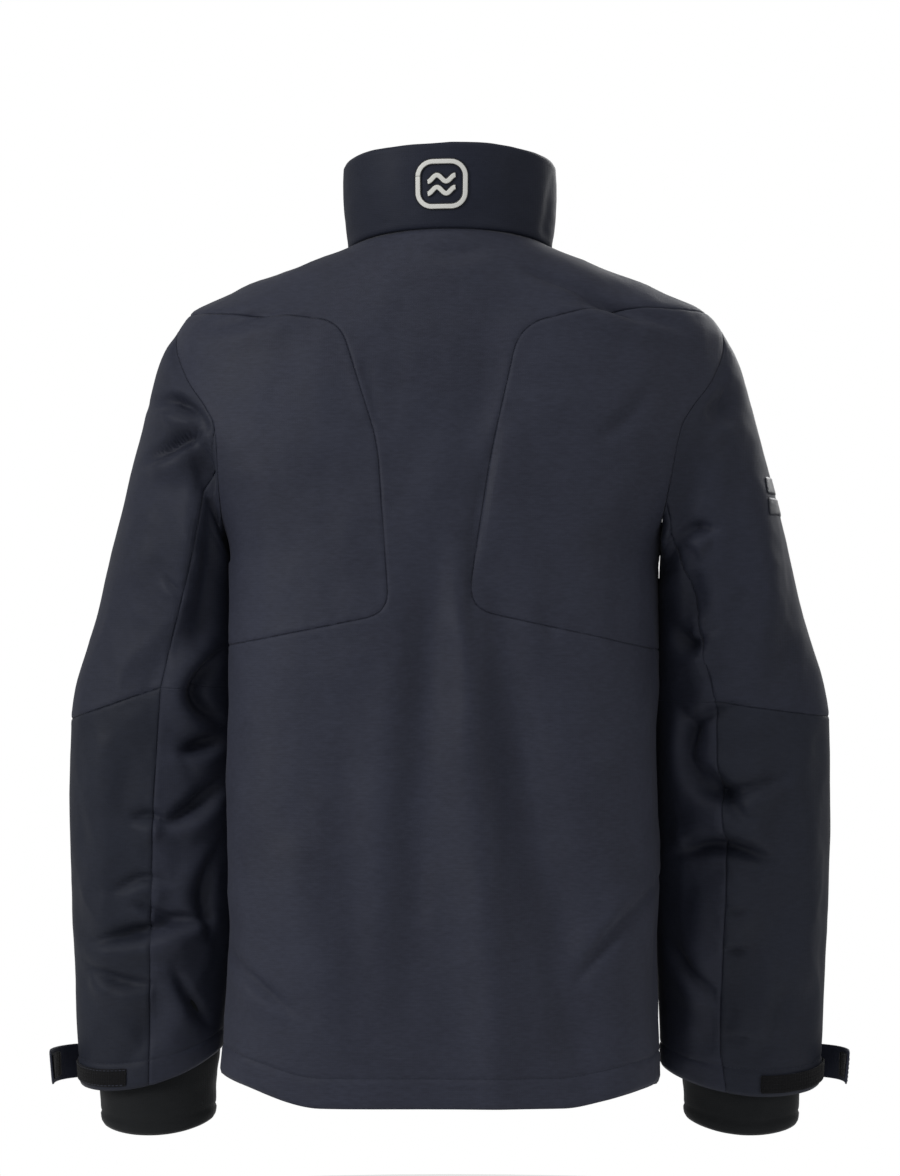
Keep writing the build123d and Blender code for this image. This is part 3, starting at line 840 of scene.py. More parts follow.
plain = ~inUpper["left"] & ~inUpper["right"]
backMain, backCorners = bodyPanel("backMainPanel", isBackFace & plain)
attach(backMain, "torso")
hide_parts("back_main")
backStitches = stitchRun("backHemStitches", bodySurface, bodyNormal, bodyStitches, backCorners)
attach(backStitches, "torso")
for side, here in (("left", isLeftFace), ("right", ~isLeftFace)):
    upper, _ = bodyPanel(f"backUpperPanel_{side}", isBackFace & inUpper[side])
    sideCloth, sideCorners = bodyPanel(f"sidePanel_{side}", isSideFace & here)
    sideStitches = stitchRun(f"sideHemStitches_{side}", bodySurface, bodyNormal, bodyStitches, sideCorners)
    for piece, node in ((upper, f"back_upper_{side}"), (sideCloth, f"side_panel_{side}")):
        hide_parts(node)
    for piece in (upper, sideCloth, sideStitches):
        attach(piece, "torso")
    yoke, yokeCorners = bodyPanel(f"frontYoke_{side}", ~isBackFace & isYokeFace & here)
    front, corners = bodyPanel(f"frontPanel_{side}", ~isBackFace & ~isYokeFace & ~isSideFace & here)
    frontStitches = stitchRun(f"frontStitches_{side}", bodySurface, bodyNormal, bodyStitches,
                              corners | yokeCorners)
    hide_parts(f"shoulder_yoke_{side}")
    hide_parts(f"front_side_{side}", f"front_centre_{side}")
    for piece in (yoke, front, frontStitches):
        foldBlend(piece, side)
print("body panels made")


# the back seam of each sleeve in the back view, X and Z from the shoulder down
backSeam = {
    "left": [(188, -120), (204, -208), (222, -290), (245, -385), (252, -480), (256, -600), (259, -740)],
    "right": [(-166, -120), (-176, -213), (-190, -255), (-205, -310), (-225, -396), (-228, -447),
              (-235, -520), (-236, -566), (-232, -651), (-232, -700), (-240, -750)],
}
elbowSeam = {"left": (-385, 245, 0.35), "right": (-398, 226, 0.135)}   # Z, from X, slope
sleeveHem = sleeve["length"] - sleeve["hem"]


def sleeveMaker(side):
    # the surface of one sleeve and its seams, as functions of turn and distance along
    sign = 1 if side == "left" else -1

    def pointAt(u, v):
        points = sleevePoint(u, v, side)
        points[:, 0] *= sign
        points[:, 0] += sway(points) * (1 - ramp(v, 0, 90))
        return points

    def backGap(u, v):
        p = pointAt(u, v)
        away = sign * routeDistance(p[:, 0], p[:, 2], backSeam[side])
        return np.where(np.sin(u) > 0, away, 60 * np.sign(np.cos(u) + 1e-9))

    def elbowGap(u, v):
        p = pointAt(u, v)
        level, innerX, slope = elbowSeam[side]
        return p[:, 2] - level + slope * np.clip(np.abs(p[:, 0]) - innerX, 0, 200)

    def height(u, v, points, normal):
        x, y, z = points.T
        behind = ramp(normal[:, 1], -0.35, 0.25)
        folds = foldHeight(x, z, sleeveFolds[side]) * behind
        # the front of the sleeve takes the same folds, fainter and a little lower
        folds += 0.6 * foldHeight(x, z + 34, sleeveFolds[side]) * (1 - behind)
        folds *= sleeve["foldGain"]
        soft = unevenness(points, sleeve["waves"], sleeve["flats"])
        calm = ramp(v, 2, 34) * (1 - 0.65 * ramp(v, 590, sleeve["length"]))
        facing = normal[:, 0] * sign
        # the outline of the arm stays smooth, outside and inside
        calm = calm * (1 - 0.8 * ramp(facing, 0.6, 1)) * (1 - 0.8 * ramp(-facing, 0.35, 0.95))
        top = (folds + soft) * calm
        pucker = ripple(points, *sleeve["pucker"])
        back, elbow = backGap(u, v), elbowGap(u, v)
        top += seamRelief(back) + pucker * 0.45 * np.exp(-((np.abs(back) - 6) / 6) ** 2)
        top += np.where(back > 0, seamRelief(elbow), 0)
        top += seamRelief(v - sleeveHem) * 0.7 + 0.8 * ramp(v, sleeveHem, sleeveHem + 4)
        return top + seamRelief(v) - 1.2 * ramp(v, sleeve["length"] - 2.5, sleeve["length"])

    pointAt.limit = sleeve["length"]
    return pointAt, backGap, elbowGap, height


def shoulderBlend(piece, side):
    # works out a line across the shoulder that runs out and a little down, and bakes the piece's placement
    # into its mesh; the cloth is not turned
    sign = 1 if side == "left" else -1
    near, far = (Vector((sign * 0.96, 0, -0.28)) * reach * mm for reach in sleeve["shoulderBend"])
    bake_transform(piece)
    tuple(near)
    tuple(far)


for side, sign in (("left", 1), ("right", -1)):
    pointAt, backGap, elbowGap, height = sleeveMaker(side)
    mesh = paramGrid((-math.pi / 2, 1.5 * math.pi), (0, sleeve["length"]),
                     int(sleeve["girth"] / sleeve["grid"]), int(sleeve["length"] / sleeve["grid"]))
    cutAlong(mesh, backGap, seamLoops)
    cutAlong(mesh, elbowGap, seamLoops)
    cutAlong(mesh, lambda u, v: v - sleeveHem, (-1.2, 0, 1.2), stitched=(0,))
    cutAlong(mesh, lambda u, v: v, (1.4, 4))
    u, v, sleeveFaces, marked = gridArrays(mesh)
    if side == "right":
        sleeveFaces = [face[::-1] for face in sleeveFaces]
    surface, normal = outwardPoints(pointAt, u, v, height, sign)
    backHere, elbowHere = backGap(u, v), elbowGap(u, v)
    outerFace = np.array([backHere[f].mean() > 0 for f in sleeveFaces])
    upperFace = np.array([elbowHere[f].mean() > 0 for f in sleeveFaces])
    plan = (("upperSleeveOuter", outerFace & upperFace, [f"upper_sleeve_outer_{side}"]),
            ("upperSleeveUnder", ~outerFace & upperFace,
             [f"upper_sleeve_under_{side}", f"inner_elbow_{side}"]),
            ("forearmOuter", outerFace & ~upperFace, [f"forearm_outer_{side}"]),
            ("forearmUnder", ~outerFace & ~upperFace, [f"forearm_under_{side}"]))
    lower = set()
    for name, chosen, nodes in plan:
        picked = [face for face, use in zip(sleeveFaces, chosen) if use]
        # the outer forearm panel takes the darker cloth, partly painted shade; the other panels take the
        # sleeve cloth, painted darker as painted shade
        cloth = forearmClothAndShade if name == "forearmOuter" else sleeveShadedCloth
        piece = thicken(makePiece(f"{name}_{side}", surface, picked, [cloth, backingKnit]), sleeve["cloth"])
        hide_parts(*nodes)
        if name.startswith("upper"):
            shoulderBlend(piece, side)
        else:
            near, far = ((0, 0, level * mm) for level in sleeve["elbowBend"])
            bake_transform(piece)
            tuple(near)
            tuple(far)
            lower |= {i for face in picked for i in face}
    cuffStitches = stitchRun(f"cuffStitches_{side}", surface, normal, marked, lower)
    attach(cuffStitches, f"forearm_{side}")
print("sleeves made")


def plate(name, placeAt, acrossRange, alongRange, spacing, thickness, finishes, corner=0, crown=0.0,
          relief=None):
    # a patch of cloth, tape or film on a curved surface: placeAt(across, along) gives points and
    # normals in mm, corner rounds its corners, and crown lifts its middle
    a0, a1 = acrossRange
    b0, b1 = alongRange
    mesh = paramGrid(acrossRange, alongRange, max(2, round((a1 - a0) / spacing)),
                     max(2, round((b1 - b0) / spacing)))
    a, b, plateFaces, _ = gridArrays(mesh)
    middleA, middleB, halfA, halfB = (a0 + a1) / 2, (b0 + b1) / 2, (a1 - a0) / 2, (b1 - b0) / 2
    if corner:
        # draws the corners in along their own diagonals
        da, db = a - middleA, b - middleB
        overA = np.maximum(np.abs(da) - (halfA - corner), 0) / corner
        overB = np.maximum(np.abs(db) - (halfB - corner), 0) / corner
        longer = np.maximum(np.maximum(overA, overB), 1e-9)
        reach = np.maximum(np.hypot(overA, overB), 1e-9)
        scale = np.where((overA > 0) & (overB > 0), longer / reach, 1)
        a = middleA + np.sign(da) * (np.minimum(np.abs(da), halfA - corner) + overA * corner * scale)
        b = middleB + np.sign(db) * (np.minimum(np.abs(db), halfB - corner) + overB * corner * scale)
    points, normals = placeAt(a, b)
    edge = np.minimum(halfA - np.abs(a - middleA), halfB - np.abs(b - middleB))
    lift = crown * ramp(edge, 0, 4) - 0.25 * (1 - ramp(edge, 0, 1.2))
    if relief:
        lift = lift + relief(a, b)
    points = points + normals * lift[:, None]
    piece = makePiece(name, points, plateFaces, finishes)
    return thicken(piece, thickness)


def onSurface(pointAt, height, hand, extra):
    # the displaced surface and its normal, raised by extra mm
    def place(u, v):
        points, normals = outwardPoints(pointAt, u, v, height, hand)
        return points + normals * extra, normals
    return place


def turnedAbout(points, pivot, angle):
    # about an upright line through the pivot
    x, y = points[:, 0] - pivot[0], points[:, 1] - pivot[1]
    c, s = math.cos(angle), math.sin(angle)
    return np.stack([pivot[0] + x * c - y * s, pivot[1] + x * s + y * c, points[:, 2]], 1)


# cuffs: outer hem tab, hook patch, loop strip and the soft inner cuff
cuff = {
    "loopTurn": {"left": (-0.16, 1.27), "right": (-0.16, 1.38)},
    "loopReach": 58.0,      # mm of cuff for each unit of turn near the outer edge
    "loopAlong": (621, 636),
    "tabY": (-58, -12),
    "tabZ": (-730, -701),
    "tabOpen": 36,          # degrees that the tab stands open at rest
    "tabOut": {"left": 5.7, "right": 6.9},      # how far the closed tab stands off the sleeve
    "pivot": (318, -58),    # X and Y of the tab's hinge
    "length": 112,
    "innerStations": [(0, 196, -655, 314, -655, -36.5, 42), (60, 202, -717, 307, -724, -42, 38),
                      (112, 205, -766, 303, -771, -44, 35)],
    "waves": [(34, 2.0, 41), (12, 0.5, 43)],
}


def innerCuffPoint(u, v):
    rings = []
    for _, innerX, innerZ, outerX, outerZ, middleY, depth in cuff["innerStations"]:
        inner, outer = np.array([innerX, middleY, innerZ]), np.array([outerX, middleY, outerZ])
        ring = (inner + outer) / 2 + np.cos(u)[:, None] * (outer - inner) / 2
        ring[:, 1] += np.sin(u) * depth
        rings.append(ring)
    points = throughStations([s[0] for s in cuff["innerStations"]], np.array(rings), v)
    # the rim hangs lower at the back than at its sides
    points[:, 2] += (5 * np.cos(u) ** 2 - 5 * np.clip(np.sin(u), 0, 1)) * ramp(v, 50, cuff["length"])
    return points


def innerCuffHeight(u, v, points, normal):
    rimSeam = cuff["length"] - 12
    rim = 0.7 * ramp(v, rimSeam, rimSeam + 3) - 1.6 * ramp(v, rimSeam + 8, cuff["length"])
    calm = ramp(v, 5, 40) * (1 - ramp(v, 96, cuff["length"]) * 0.5)
    return unevenness(points, cuff["waves"]) * calm + rim + seamRelief(v - rimSeam) * 0.6


for side, sign in (("left", 1), ("right", -1)):
    pointAt, _, _, height = sleeveMaker(side)
    mesh = paramGrid((-math.pi / 2, 1.5 * math.pi), (0, cuff["length"]), 90, 38)
    u, v, cuffFaces, _ = gridArrays(mesh)
    if side == "right":
        cuffFaces = [face[::-1] for face in cuffFaces]

    def cuffAt(u, v, sign=sign):
        return innerCuffPoint(u, v) * np.array([sign, 1, 1])
    cuffAt.limit = cuff["length"]
    surface, normal = outwardPoints(cuffAt, u, v, innerCuffHeight, sign)
    innerCuff = thicken(makePiece(f"innerCuff_{side}", surface, cuffFaces, [sealFoam, backingKnit]), 2.0)
    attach(innerCuff, f"forearm_{side}")
    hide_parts(f"inner_cuff_{side}")

    sleeveTop = onSurface(pointAt, height, sign, 1.0)
    smoothTop = onSurface(pointAt, lambda u, v, p, n: 0 * u, sign, 0)
    start, end = (turn * cuff["loopReach"] for turn in cuff["loopTurn"][side])

    def loopPlace(a, b):
        return sleeveTop(a / cuff["loopReach"], b)

    def loopRibs(a, b):
        # the loops stand in rows about 2 mm apart, with gaps worn between them
        rows = 0.3 * np.abs(np.sin(a * math.pi / 2.4)) + 0.14 * np.sin(b * math.pi / 1.5)
        return rows * (1 + 0.3 * np.sin(a * 1.7 + b * 0.9))

    loopStrip = plate(f"loopStrip_{side}", loopPlace, (start, end), cuff["loopAlong"], 0.8, 1.0,
                      [loopNylon], corner=1.5, relief=loopRibs)
    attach(loopStrip, f"forearm_{side}")
    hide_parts(f"loop_strip_{side}")
    rows = [loopPlace(np.linspace(start + 1, end - 1, 60), np.full(60, level))
            for level in (cuff["loopAlong"][0] + 1.2, cuff["loopAlong"][1] - 1.2)]
    stripStitches = stitchesOn(f"stripStitches_{side}", [(p + n * 0.3, n) for p, n in rows])
    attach(stripStitches, f"forearm_{side}")

    def tabPlace(y, z, inward=0.0, out=cuff["tabOut"][side], sign=sign, smoothTop=smoothTop):
        # the closed place on the sleeve, then swung open about the hinge
        u, v = np.arcsin(np.clip((y + 42) / 45, -0.95, 0.95)), np.full(len(y), 620.0)
        for _ in range(12):
            v = np.clip(v + smoothTop(u, v)[0][:, 2] - z, 560, 640)
            u = u + np.clip((y - smoothTop(u, v)[0][:, 1]) / 45, -0.1, 0.1)
        points, normals = smoothTop(u, v)
        # past the hem the tab carries straight on
        points[:, 2] = z
        flip = np.array([sign, 1, 1])
        points, normals = (points + normals * (out - inward)) * flip, normals * flip
        angle = -math.radians(cuff["tabOpen"])
        points = turnedAbout(points, cuff["pivot"], angle)
        normals = turnedAbout(normals, (0, 0), angle)
        return points * flip, normals * flip

    # the tab takes the sleeve cloth, which is painted darker as painted shade
    tab = plate(f"cuffTab_{side}", tabPlace, cuff["tabY"], cuff["tabZ"], 1.5, 1.4,
                [sleeveShadedCloth, sleeveShadedCloth], corner=5, crown=0.25)
    hook = plate(f"hookPatch_{side}", lambda y, z: tabPlace(y, z, 1.6), (-34, -15), (-726, -705),
                 0.8, 0.9, [loopNylon], corner=2,
                 relief=lambda a, b: 0.25 * np.sin(a * math.pi / 1.1) * np.sin(b * math.pi / 1.1))
    # a stitch row along both edges of the tab and round its end
    rows = [tabPlace(np.linspace(-55, -17, 40), np.full(40, level), -0.35) for level in (-727.2, -703.8)]
    rows.append(tabPlace(np.full(20, -14.8), np.linspace(-725, -706, 20), -0.35))
    tabStitches = stitchesOn(f"tabStitches_{side}", rows)
    for piece, node, name in ((tab, f"cuff_tab_{side}", "sleeve_shell"),
                              (hook, f"hook_patch_{side}", "hook_and_loop"),
                              (tabStitches, None, "sleeve_shell")):
        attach(piece, f"cuff_tab_{side}")
        if node:
            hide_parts(node)
print("cuffs made")


# collar
collar = {
    "height": 72,
    "roll": 2.0,            # radius of the rolled top edge
    "turnIn": 12,           # the shell runs this far down the inside
    "wide": (87, 4),        # half width at the seam, and how much more at the top
    "deep": 80,
    "middle": (1, 5.8),     # Y of its middle at the seam, and how far that leans back at the top
    "tilt": 13.9,           # its front is twice this below its back
    "belly": (2.0, 1.0),    # how far its sides and back swell halfway up
    "lining": 4.4,          # the lining lies this far inside
    "split": 0.01,
    "girth": 540,
    "grid": 2.6,
    "waves": [(60, 1.6, 51), (22, 0.6, 53), (10, 0.2, 55)],
    "liningWaves": [(26, 0.8, 61), (8, 0.5, 63)],
}


def collarPoint(u, v, inset=0.0):
    # v runs up the outside, over the rolled top edge and down the inside
    top, roll = collar["height"] - collar["roll"], collar["roll"]
    arc = np.clip((v - top) / roll, 0, math.pi)
    up = np.minimum(v, top) + roll * np.sin(arc) - np.maximum(v - top - math.pi * roll, 0)
    share = up / collar["height"]
    inset = inset + roll * (1 - np.cos(arc))
    swell = np.sin(share * math.pi)
    wide = collar["wide"][0] + collar["wide"][1] * share + collar["belly"][0] * swell - inset
    deep = collar["deep"] + collar["belly"][1] * swell - inset
    x, y = wide * np.cos(u), deep * np.sin(u) + collar["middle"][0] + collar["middle"][1] * share
    z = -collar["tilt"] + up + collar["tilt"] * np.sin(u)
    return np.stack([x, y, z], 1)


collarTop = collar["height"] - collar["roll"]
collarEnd = collarTop + math.pi * collar["roll"] + collar["turnIn"]
collarPoint.limit = collarEnd
collarFolds = [
    ("crease", 8, 1.8, [(-78, -8), (-84, 20), (-88, 52)]),
    ("valley", 12, 1.4, [(-70, 10), (-62, 34), (-60, 62)]),
    ("ridge", 16, 1.2, [(52, 4), (44, 30), (48, 60)]),
    ("valley", 10, 0.9, [(76, 6), (80, 30), (84, 54)]),
]


def collarHeight(u, v, points, normal):
    x, y, z = points.T
    behind = ramp(normal[:, 1], -0.1, 0.3)
    rise = foldHeight(x, z, collarFolds) * behind + unevenness(points, collar["waves"])
    rise = rise * ramp(v, 0, 12) * np.where(y < 0, ramp(np.abs(x), 8, 30), 1)
    # the side seams and the neck seam; across the middle of the collar there is no side seam
    rise += seamRelief(np.abs(backSide(points)) * np.where(np.abs(x) > 40, 1, 50)) + seamRelief(v)
    return rise - 0.5 * (1 - ramp(v, 0, 1.6))


def collarFront(u, v):
    p = collarPoint(u, v)
    return np.where(p[:, 1] < 0, np.abs(p[:, 0]) - zipGap["half"], 50)


def collarSide(u, v):
    return backSide(collarPoint(u, v))


def collarPiece(name, pointAt, heightAt, upRange, chosen, finishes, thickness, spacing):
    mesh = paramGrid((-math.pi / 2 + collar["split"], 1.5 * math.pi - collar["split"]), upRange,
                     int(collar["girth"] / spacing), int((upRange[1] - upRange[0]) / spacing))
    cutAlong(mesh, collarSide, seamLoops[:5])
    cutAlong(mesh, collarFront, (0, 1.4, 5), stitched=(5,))
    u, v, upFaces, marked = gridArrays(mesh)
    upFaces = [face[::-1] for face in upFaces]      # v runs upward here, so the faces turn over
    surface, normal = outwardPoints(pointAt, u, v, heightAt, -1)
    behind, fromZip, x = collarSide(u, v), collarFront(u, v), pointAt(u, v)[:, 0]
    picked = [f for f in upFaces if fromZip[f].mean() > 0 and chosen(behind[f].mean(), x[f].mean())]
    piece = thicken(makePiece(name, surface, picked, finishes), thickness)
    corners = {i for face in picked for i in face}
    return piece, (surface, normal, marked, corners)


def liningPoint(u, v):
    return collarPoint(u, np.minimum(v, liningPoint.limit), collar["lining"])


liningPoint.limit = collarTop - 3


def liningHeight(u, v, points, normal):
    return unevenness(points, collar["liningWaves"])


collarPlan = (("collarBack", "back", lambda behind, x: behind > 0),
              ("collarFront_left", "left", lambda behind, x: behind < 0 and x > 0),
              ("collarFront_right", "right", lambda behind, x: behind < 0 and x < 0))
for name, where, chosen in collarPlan:
    node = "collar_back" if where == "back" else f"collar_front_{where}"
    # the collar shell takes the collar cloth, which is painted darker as painted shade
    piece, traced = collarPiece(name, collarPoint, collarHeight, (0, collarEnd), chosen,
                                [collarShadedCloth, backingKnit], 0.9, collar["grid"])
    lining, _ = collarPiece(f"{name}Lining", liningPoint, liningHeight, (2, liningPoint.limit), chosen,
                            [collarKnit], 1.2, collar["grid"] + 0.8)
    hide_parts(node)
    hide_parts(node.replace("collar_", "collar_lining_"))
    for each in (piece, lining):
        if where == "back":
            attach(each, "torso")
        else:
            foldBlend(each, where)
    if where != "back":
        foldBlend(stitchRun(f"{name}Stitches", *traced), where)
print("collar made")


# emblem on the collar, a frame round two waves: a light film on a wider black one
emblem = {
    "x": 7,
    "up": 37,
    "wide": 43,
    "tall": 41,
    "corner": 12,
    "line": 3.7,
    "edge": 1.7,            # the black film is this much wider
    "proud": (0.55, 0.95),  # how far the black and the light film stand off the cloth
    "thick": 0.5,
    "waveUp": (4.6, -5.4),
    "waveHalf": 11.5,
    "waveHeight": 2.6,
    "waveLength": 15.2,
}


def collarSpot(x, up):
    # x across the back of the collar, up from its seam
    u = np.arccos(np.clip(x / 90.5, -1, 1))
    return outwardPoints(collarPoint, u, up, collarHeight, -1)


def ribbon(path, width):
    # five rails along a path, as a strip of quads
    path = np.array(path, float)
    step = np.gradient(path, axis=0)
    step /= np.linalg.norm(step, axis=1)[:, None]
    side = np.stack([-step[:, 1], step[:, 0]], 1)
    rails = [path + side * width * s for s in (-0.5, -0.3, 0, 0.3, 0.5)]
    n = len(path)
    quads = [[r * n + i, r * n + i + 1, (r + 1) * n + i + 1, (r + 1) * n + i]
             for r in range(4) for i in range(n - 1)]
    return np.concatenate(rails), quads


def roundedFrame(wide, tall, radius, steps=10):
    corners = [(wide / 2 - radius, tall / 2 - radius, 0), (radius - wide / 2, tall / 2 - radius, 1),
               (radius - wide / 2, radius - tall / 2, 2), (wide / 2 - radius, radius - tall / 2, 3)]
    path = []
    for x, y, quarter in corners:
        for k in range(steps + 1):
            angle = (quarter + k / steps) * math.pi / 2
            path.append((x + radius * math.cos(angle), y + radius * math.sin(angle)))
    path = path + path[:1]
    dense = []
    for a, b in zip(path[:-1], path[1:]):
        count = max(1, int(math.dist(a, b) / 1.5))
        dense += [(a[0] + (b[0] - a[0]) * k / count, a[1] + (b[1] - a[1]) * k / count)
                  for k in range(count)]
    return dense + [path[0]]


waveX = np.linspace(-emblem["waveHalf"], emblem["waveHalf"], 40)
wave = emblem["waveHeight"] * np.sin(waveX * math.tau / emblem["waveLength"])
emblemPaths = [roundedFrame(emblem["wide"] - emblem["line"], emblem["tall"] - emblem["line"],
                            emblem["corner"])]
emblemPaths += [np.stack([waveX, level + wave], 1) for level in emblem["waveUp"]]
for name, extra, finish, proud in (("emblemEdge", emblem["edge"], badgeEdge, emblem["proud"][0]),
                                   ("emblem", 0, badgeFilm, emblem["proud"][1])):
    parts, quads = [], []
    for path in emblemPaths:
        points, strip = ribbon(path, emblem["line"] + extra)
        base = sum(len(p) for p in parts)
        parts.append(points)
        quads += [[base + i for i in quad] for quad in strip]
    flat = np.concatenate(parts)
    points, normals = collarSpot(flat[:, 0] + emblem["x"], flat[:, 1] + emblem["up"])
    film = makePiece(name, points + normals * proud, quads, [finish])
    thicken(film, emblem["thick"])
    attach(film, "torso")
    if name == "emblem":
        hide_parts("collar_badge")

# two raised bars on the back of the right sleeve
bars = {"left": -288.5, "z": (-214, -232), "wide": 22, "tall": 14, "proud": 0.5, "thick": 0.5}
pointAt, _, _, height = sleeveMaker("right")
sleeveTop = onSurface(pointAt, height, -1, bars["proud"])


def sleeveSpot(x, z):
    # the turn and the distance along the right sleeve whose point has this X and Z, on the back:
    # small steps from a first guess, each one along the surface's own two slopes
    u, v = np.full(len(x), 0.7), np.full(len(x), 150.0)
    for _ in range(25):
        p = pointAt(u, v)
        pu, pv = pointAt(u + 0.01, v), pointAt(u, v + 1)
        gapX, gapZ = x - p[:, 0], z - p[:, 2]
        a, b = (pu[:, 0] - p[:, 0]) / 0.01, pv[:, 0] - p[:, 0]
        c, d = (pu[:, 2] - p[:, 2]) / 0.01, pv[:, 2] - p[:, 2]
        area = a * d - b * c
        area = np.where(np.abs(area) < 1e-3, 1e-3, area)
        u = np.clip(u + np.clip((gapX * d - b * gapZ) / area, -0.2, 0.2), 0.02, 1.4)
        v = np.clip(v + np.clip((a * gapZ - c * gapX) / area, -20, 20), 20, 600)
    return u, v


for level in bars["z"]:
    def barPlace(a, b, level=level):
        return sleeveTop(*sleeveSpot(bars["left"] + a, level + b))
    bar = plate(f"sleeveBar_{-level}", barPlace, (0, bars["wide"]), (-bars["tall"] / 2, bars["tall"] / 2),
                1.2, bars["thick"], [raisedPrint], corner=1.5)
    bar.data.flip_normals()
    shoulderBlend(bar, "right")
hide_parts("sleeve_badge")
print("emblem and bars made")


# inside: placket, chin guard, pocket bags, hanger loop and hem turn-up
inside = {
    "placketUnder": 9.7,    # how far under the front the placket lies
    "placketX": (-31.5, 29.5),
    "placketDrop": (63, 720),
    "guardUnder": 3.4,      # how far inside the collar lining the chin guard lies
    "bagUnder": 6.6,
    "turnUpUnder": 2.0,
}


def underFront(depth):
    # places on the front by X and drop in mm, that far under the cloth
    def place(x, drop):
        turnHere = np.full(len(x), -math.pi / 2)
        for _ in range(12):
            gap = x - bodyPoint(turnHere, drop)[:, 0]
            step = (bodyPoint(turnHere + 0.01, drop)[:, 0] - bodyPoint(turnHere - 0.01, drop)[:, 0]) / 0.02
            turnHere = turnHere + np.clip(gap / np.maximum(step, 20), -0.3, 0.3)
        points, normals = outwardPoints(bodyPoint, turnHere, drop, lambda u, v, p, n: 0 * u)
        return points - normals * depth, normals
    return place


placket = plate("innerPlacket", underFront(inside["placketUnder"]), inside["placketX"],
                inside["placketDrop"], 4, 1.3, [shellCloth, backingKnit], corner=4, crown=0.3,
                relief=lambda a, b: 0.3 * np.sin(b / 47) * np.cos(a / 20))
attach(placket, "front_right")
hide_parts("inner_placket")
drops = np.linspace(inside["placketDrop"][0] + 3, inside["placketDrop"][1] - 4, 180)
rows = [underFront(inside["placketUnder"] - 0.3)(np.full(180, x), drops)
        for x in (inside["placketX"][0] + 3.5, inside["placketX"][1] - 3.5)]
placketStitches = stitchesOn("placketStitches", rows)
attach(placketStitches, "front_right")


def chinPlace(x, up):
    # x across the front of the collar, up from its seam, inside the lining
    u = -np.arccos(np.clip(x / 86, -1, 1))
    points, normals = outwardPoints(liningPoint, u, up, liningHeight, -1)
    return points - normals * inside["guardUnder"], normals


chinGuard = plate("chinGuard", chinPlace, (14, 43), (25, 66), 2.4, 1.0, [collarKnit], corner=7, crown=0.6)
chinGuard.data.flip_normals()
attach(chinGuard, "front_left")
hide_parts("chin_guard")


def pocketBag(name, xRange, dropRange, node, deepest):
    # two layers of knit joined round their edge, a little fuller at the foot
    mesh = paramGrid(xRange, dropRange, 18, int((dropRange[1] - dropRange[0]) / 6))
    a, b, bagFaces, _ = gridArrays(mesh)
    edge = np.minimum(np.minimum(a - xRange[0], xRange[1] - a), np.minimum(b - dropRange[0],
                                                                         dropRange[1] - b))
    full = ramp(edge, 0, 16) * (0.75 + 0.25 * ramp(b, *dropRange))
    points, normals = underFront(inside["bagUnder"])(a, b)
    wobble = ripple(points, 24, 1.1, 71)
    nearLayer = points - normals * (0.2 + 0.3 * full)[:, None]
    farLayer = points - normals * (0.3 + (deepest + wobble) * full)[:, None]
    count = len(points)
    flipped = [[i + count for i in face[::-1]] for face in bagFaces]
    bag = makePiece(name, np.concatenate([nearLayer, farLayer]), bagFaces + flipped, [backingKnit])
    weld = bag.modifiers.new("edge", "WELD")
    weld.merge_threshold = 0.25 * mm
    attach(bag, "torso")
    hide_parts(node)


pocketBag("chestPocketBag", (85, 149), (141, 309), "chest_pocket_bag", 7.5)
pocketBag("handPocketBag_left", (101, 151), (416, 649), "hand_pocket_bag_left", 8.5)
pocketBag("handPocketBag_right", (-151, -101), (416, 649), "hand_pocket_bag_right", 8.5)

hangerTape = {"z": -14, "y": 70.85, "wide": 52, "tall": 18.8, "corner": 7, "tape": 4.6, "thick": 1.1}
ring = roundedFrame(hangerTape["wide"], hangerTape["tall"], hangerTape["corner"])
flat, quads = ribbon(ring, hangerTape["tape"])
buckle = 0.105 * np.sin(np.arange(len(flat)) * 0.9)       # the tape isn't quite flat
loopPoints = np.stack([flat[:, 0], hangerTape["y"] + buckle, flat[:, 1] + hangerTape["z"]], 1)
hanger = thicken(makePiece("hangerLoop", loopPoints, quads, [webbingCloth]), hangerTape["thick"], 0)
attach(hanger, "hanger_loop")
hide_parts("hanger_loop")

# the hem is turned in: a second layer of shell lies behind it up to the stitch row
for name, chosen, where in (("hemTurnUpBack", isBackFace | isSideFace, None),
                            ("hemTurnUp_left", ~isBackFace & ~isSideFace & isLeftFace, "left"),
                            ("hemTurnUp_right", ~isBackFace & ~isSideFace & ~isLeftFace, "right")):
    low = np.array([drop[face].mean() > hemLine - 1 for face in faces])
    picked = [face[::-1] for face, use in zip(faces, chosen & keepFace & low) if use]
    layer = makePiece(name, bodySurface - bodyNormal * inside["turnUpUnder"], picked, [shellCloth])
    thicken(layer, 0.7, 1)
    if where:
        foldBlend(layer, where)
    else:
        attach(layer, "torso")
print("inside pieces made")


# zips: metal and moulded parts keep their shape and get their finish
def refinish(finish, *nodeNames):
    for name in nodeNames:
        mesh = frame["nodes"][name].data
        mesh.materials.clear()
        mesh.materials.append(finish)


both = ("left", "right")
refinish(zipTeethPlastic, *(f"zip_teeth_{side}" for side in both), "zip_pin", "zip_box")
refinish(zipTapeCloth, *(f"zip_tape_{side}" for side in both), "chest_zip",
         *(f"hand_zip_{side}" for side in both))
refinish(castSlider, "zip_slider", "chest_slider", *(f"hand_slider_{side}" for side in both))
refinish(pullPlastic, "zip_pull", "chest_pull", *(f"hand_pull_{side}" for side in both))


# floor, light and camera
studio = {
    "floorZ": -0.98,
    "floorRadius": 1.04,
    "aim": (0, 0, -0.35),
    "world": 0.4,           # light from all round
    "backdrop": 1.0,        # and how bright that is where the camera sees it
}
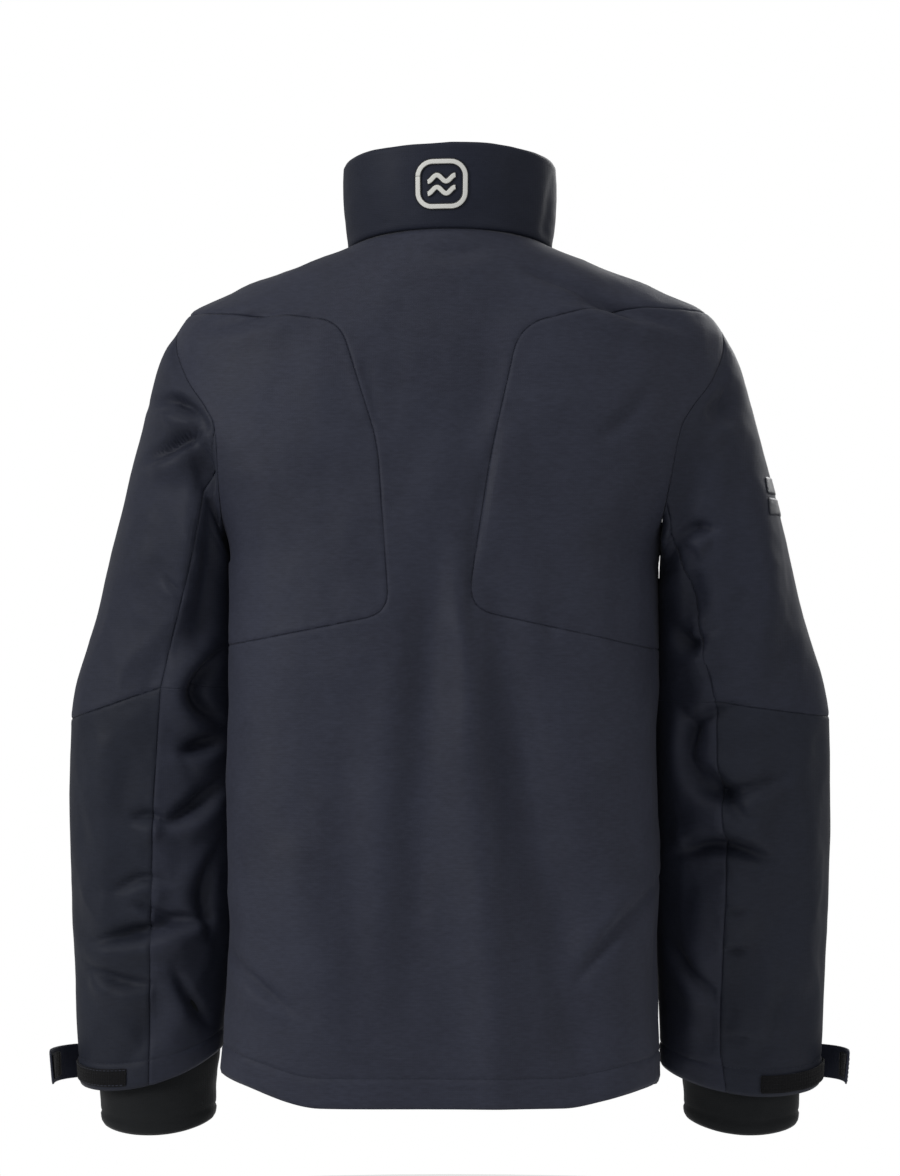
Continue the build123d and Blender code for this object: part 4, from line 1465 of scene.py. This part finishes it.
# each softbox: its place, width and height in metres, and power in watts
softboxes = {
    "keySoftbox": ((2.6, 1.9, 0.75), (0.9, 1.3), 50),
    "fillSoftbox": ((-2.4, 2.2, 0.4), (1.2, 1.6), 9),
    "topSoftbox": ((0.3, 0.9, 2.3), (1.6, 0.9), 14),
    "frontSoftbox": ((-1.4, -2.5, 0.9), (1.3, 1.4), 34),
}
floorMesh = bpy.data.meshes.new("studioFloor")
rimAngles = [math.tau * k / 96 for k in range(96)]
rim = [(studio["floorRadius"] * math.cos(angle), studio["floorRadius"] * math.sin(angle), studio["floorZ"])
       for angle in rimAngles]
floorMesh.from_pydata(rim, [], [range(len(rim))])
floor = bpy.data.objects.new("studioFloor", floorMesh)
scene.collection.objects.link(floor)
floorPaint = newFinish("paleStudioFloor")    # matt painted board, even and nearly white
floorMesh.materials.append(closeFinish(floorPaint, addNode(
    floorPaint, "ShaderNodeBsdfPrincipled", {"Base Color": linearColour("#f4f4f4"), "Roughness": 0.9})))

world = bpy.data.worlds.new("studioWorld")
scene.world = world
world.use_nodes = True
world.node_tree.nodes["Background"].inputs["Color"].default_value = (1, 1, 1, 1)
# the paper behind is lit brighter than what reaches the jacket
seen = addNode(world, "ShaderNodeLightPath").outputs["Is Camera Ray"]
strength = addNode(world, "ShaderNodeMapRange", {"Value": seen, "To Min": studio["world"],
                   "To Max": studio["backdrop"]}).outputs[0]
world.node_tree.links.new(strength, world.node_tree.nodes["Background"].inputs["Strength"])


for name, (place, size, power) in softboxes.items():
    light = bpy.data.lights.new(name, "AREA")
    light.shape = "RECTANGLE"
    light.size, light.size_y = size
    light.energy = power
    lamp = bpy.data.objects.new(name, light)
    lamp.location = place
    lamp.rotation_euler = (Vector(studio["aim"]) - Vector(place)).to_track_quat("-Z", "Y").to_euler()
    scene.collection.objects.link(lamp)

eye = {"place": (0, 3.0, -0.301), "lens": 139.5, "sensor": 36}
lens = bpy.data.cameras.new("studioCamera")
lens.sensor_fit = "HORIZONTAL"
lens.sensor_width = eye["sensor"]
lens.lens = eye["lens"]
camera = bpy.data.objects.new("studioCamera", lens)
camera.location = eye["place"]
camera.rotation_euler = (math.pi / 2, 0, math.pi)
scene.collection.objects.link(camera)
scene.camera = camera
scene.view_settings.view_transform = "Standard"
print("floor, light and camera placed")

bpy.context.view_layer.update()
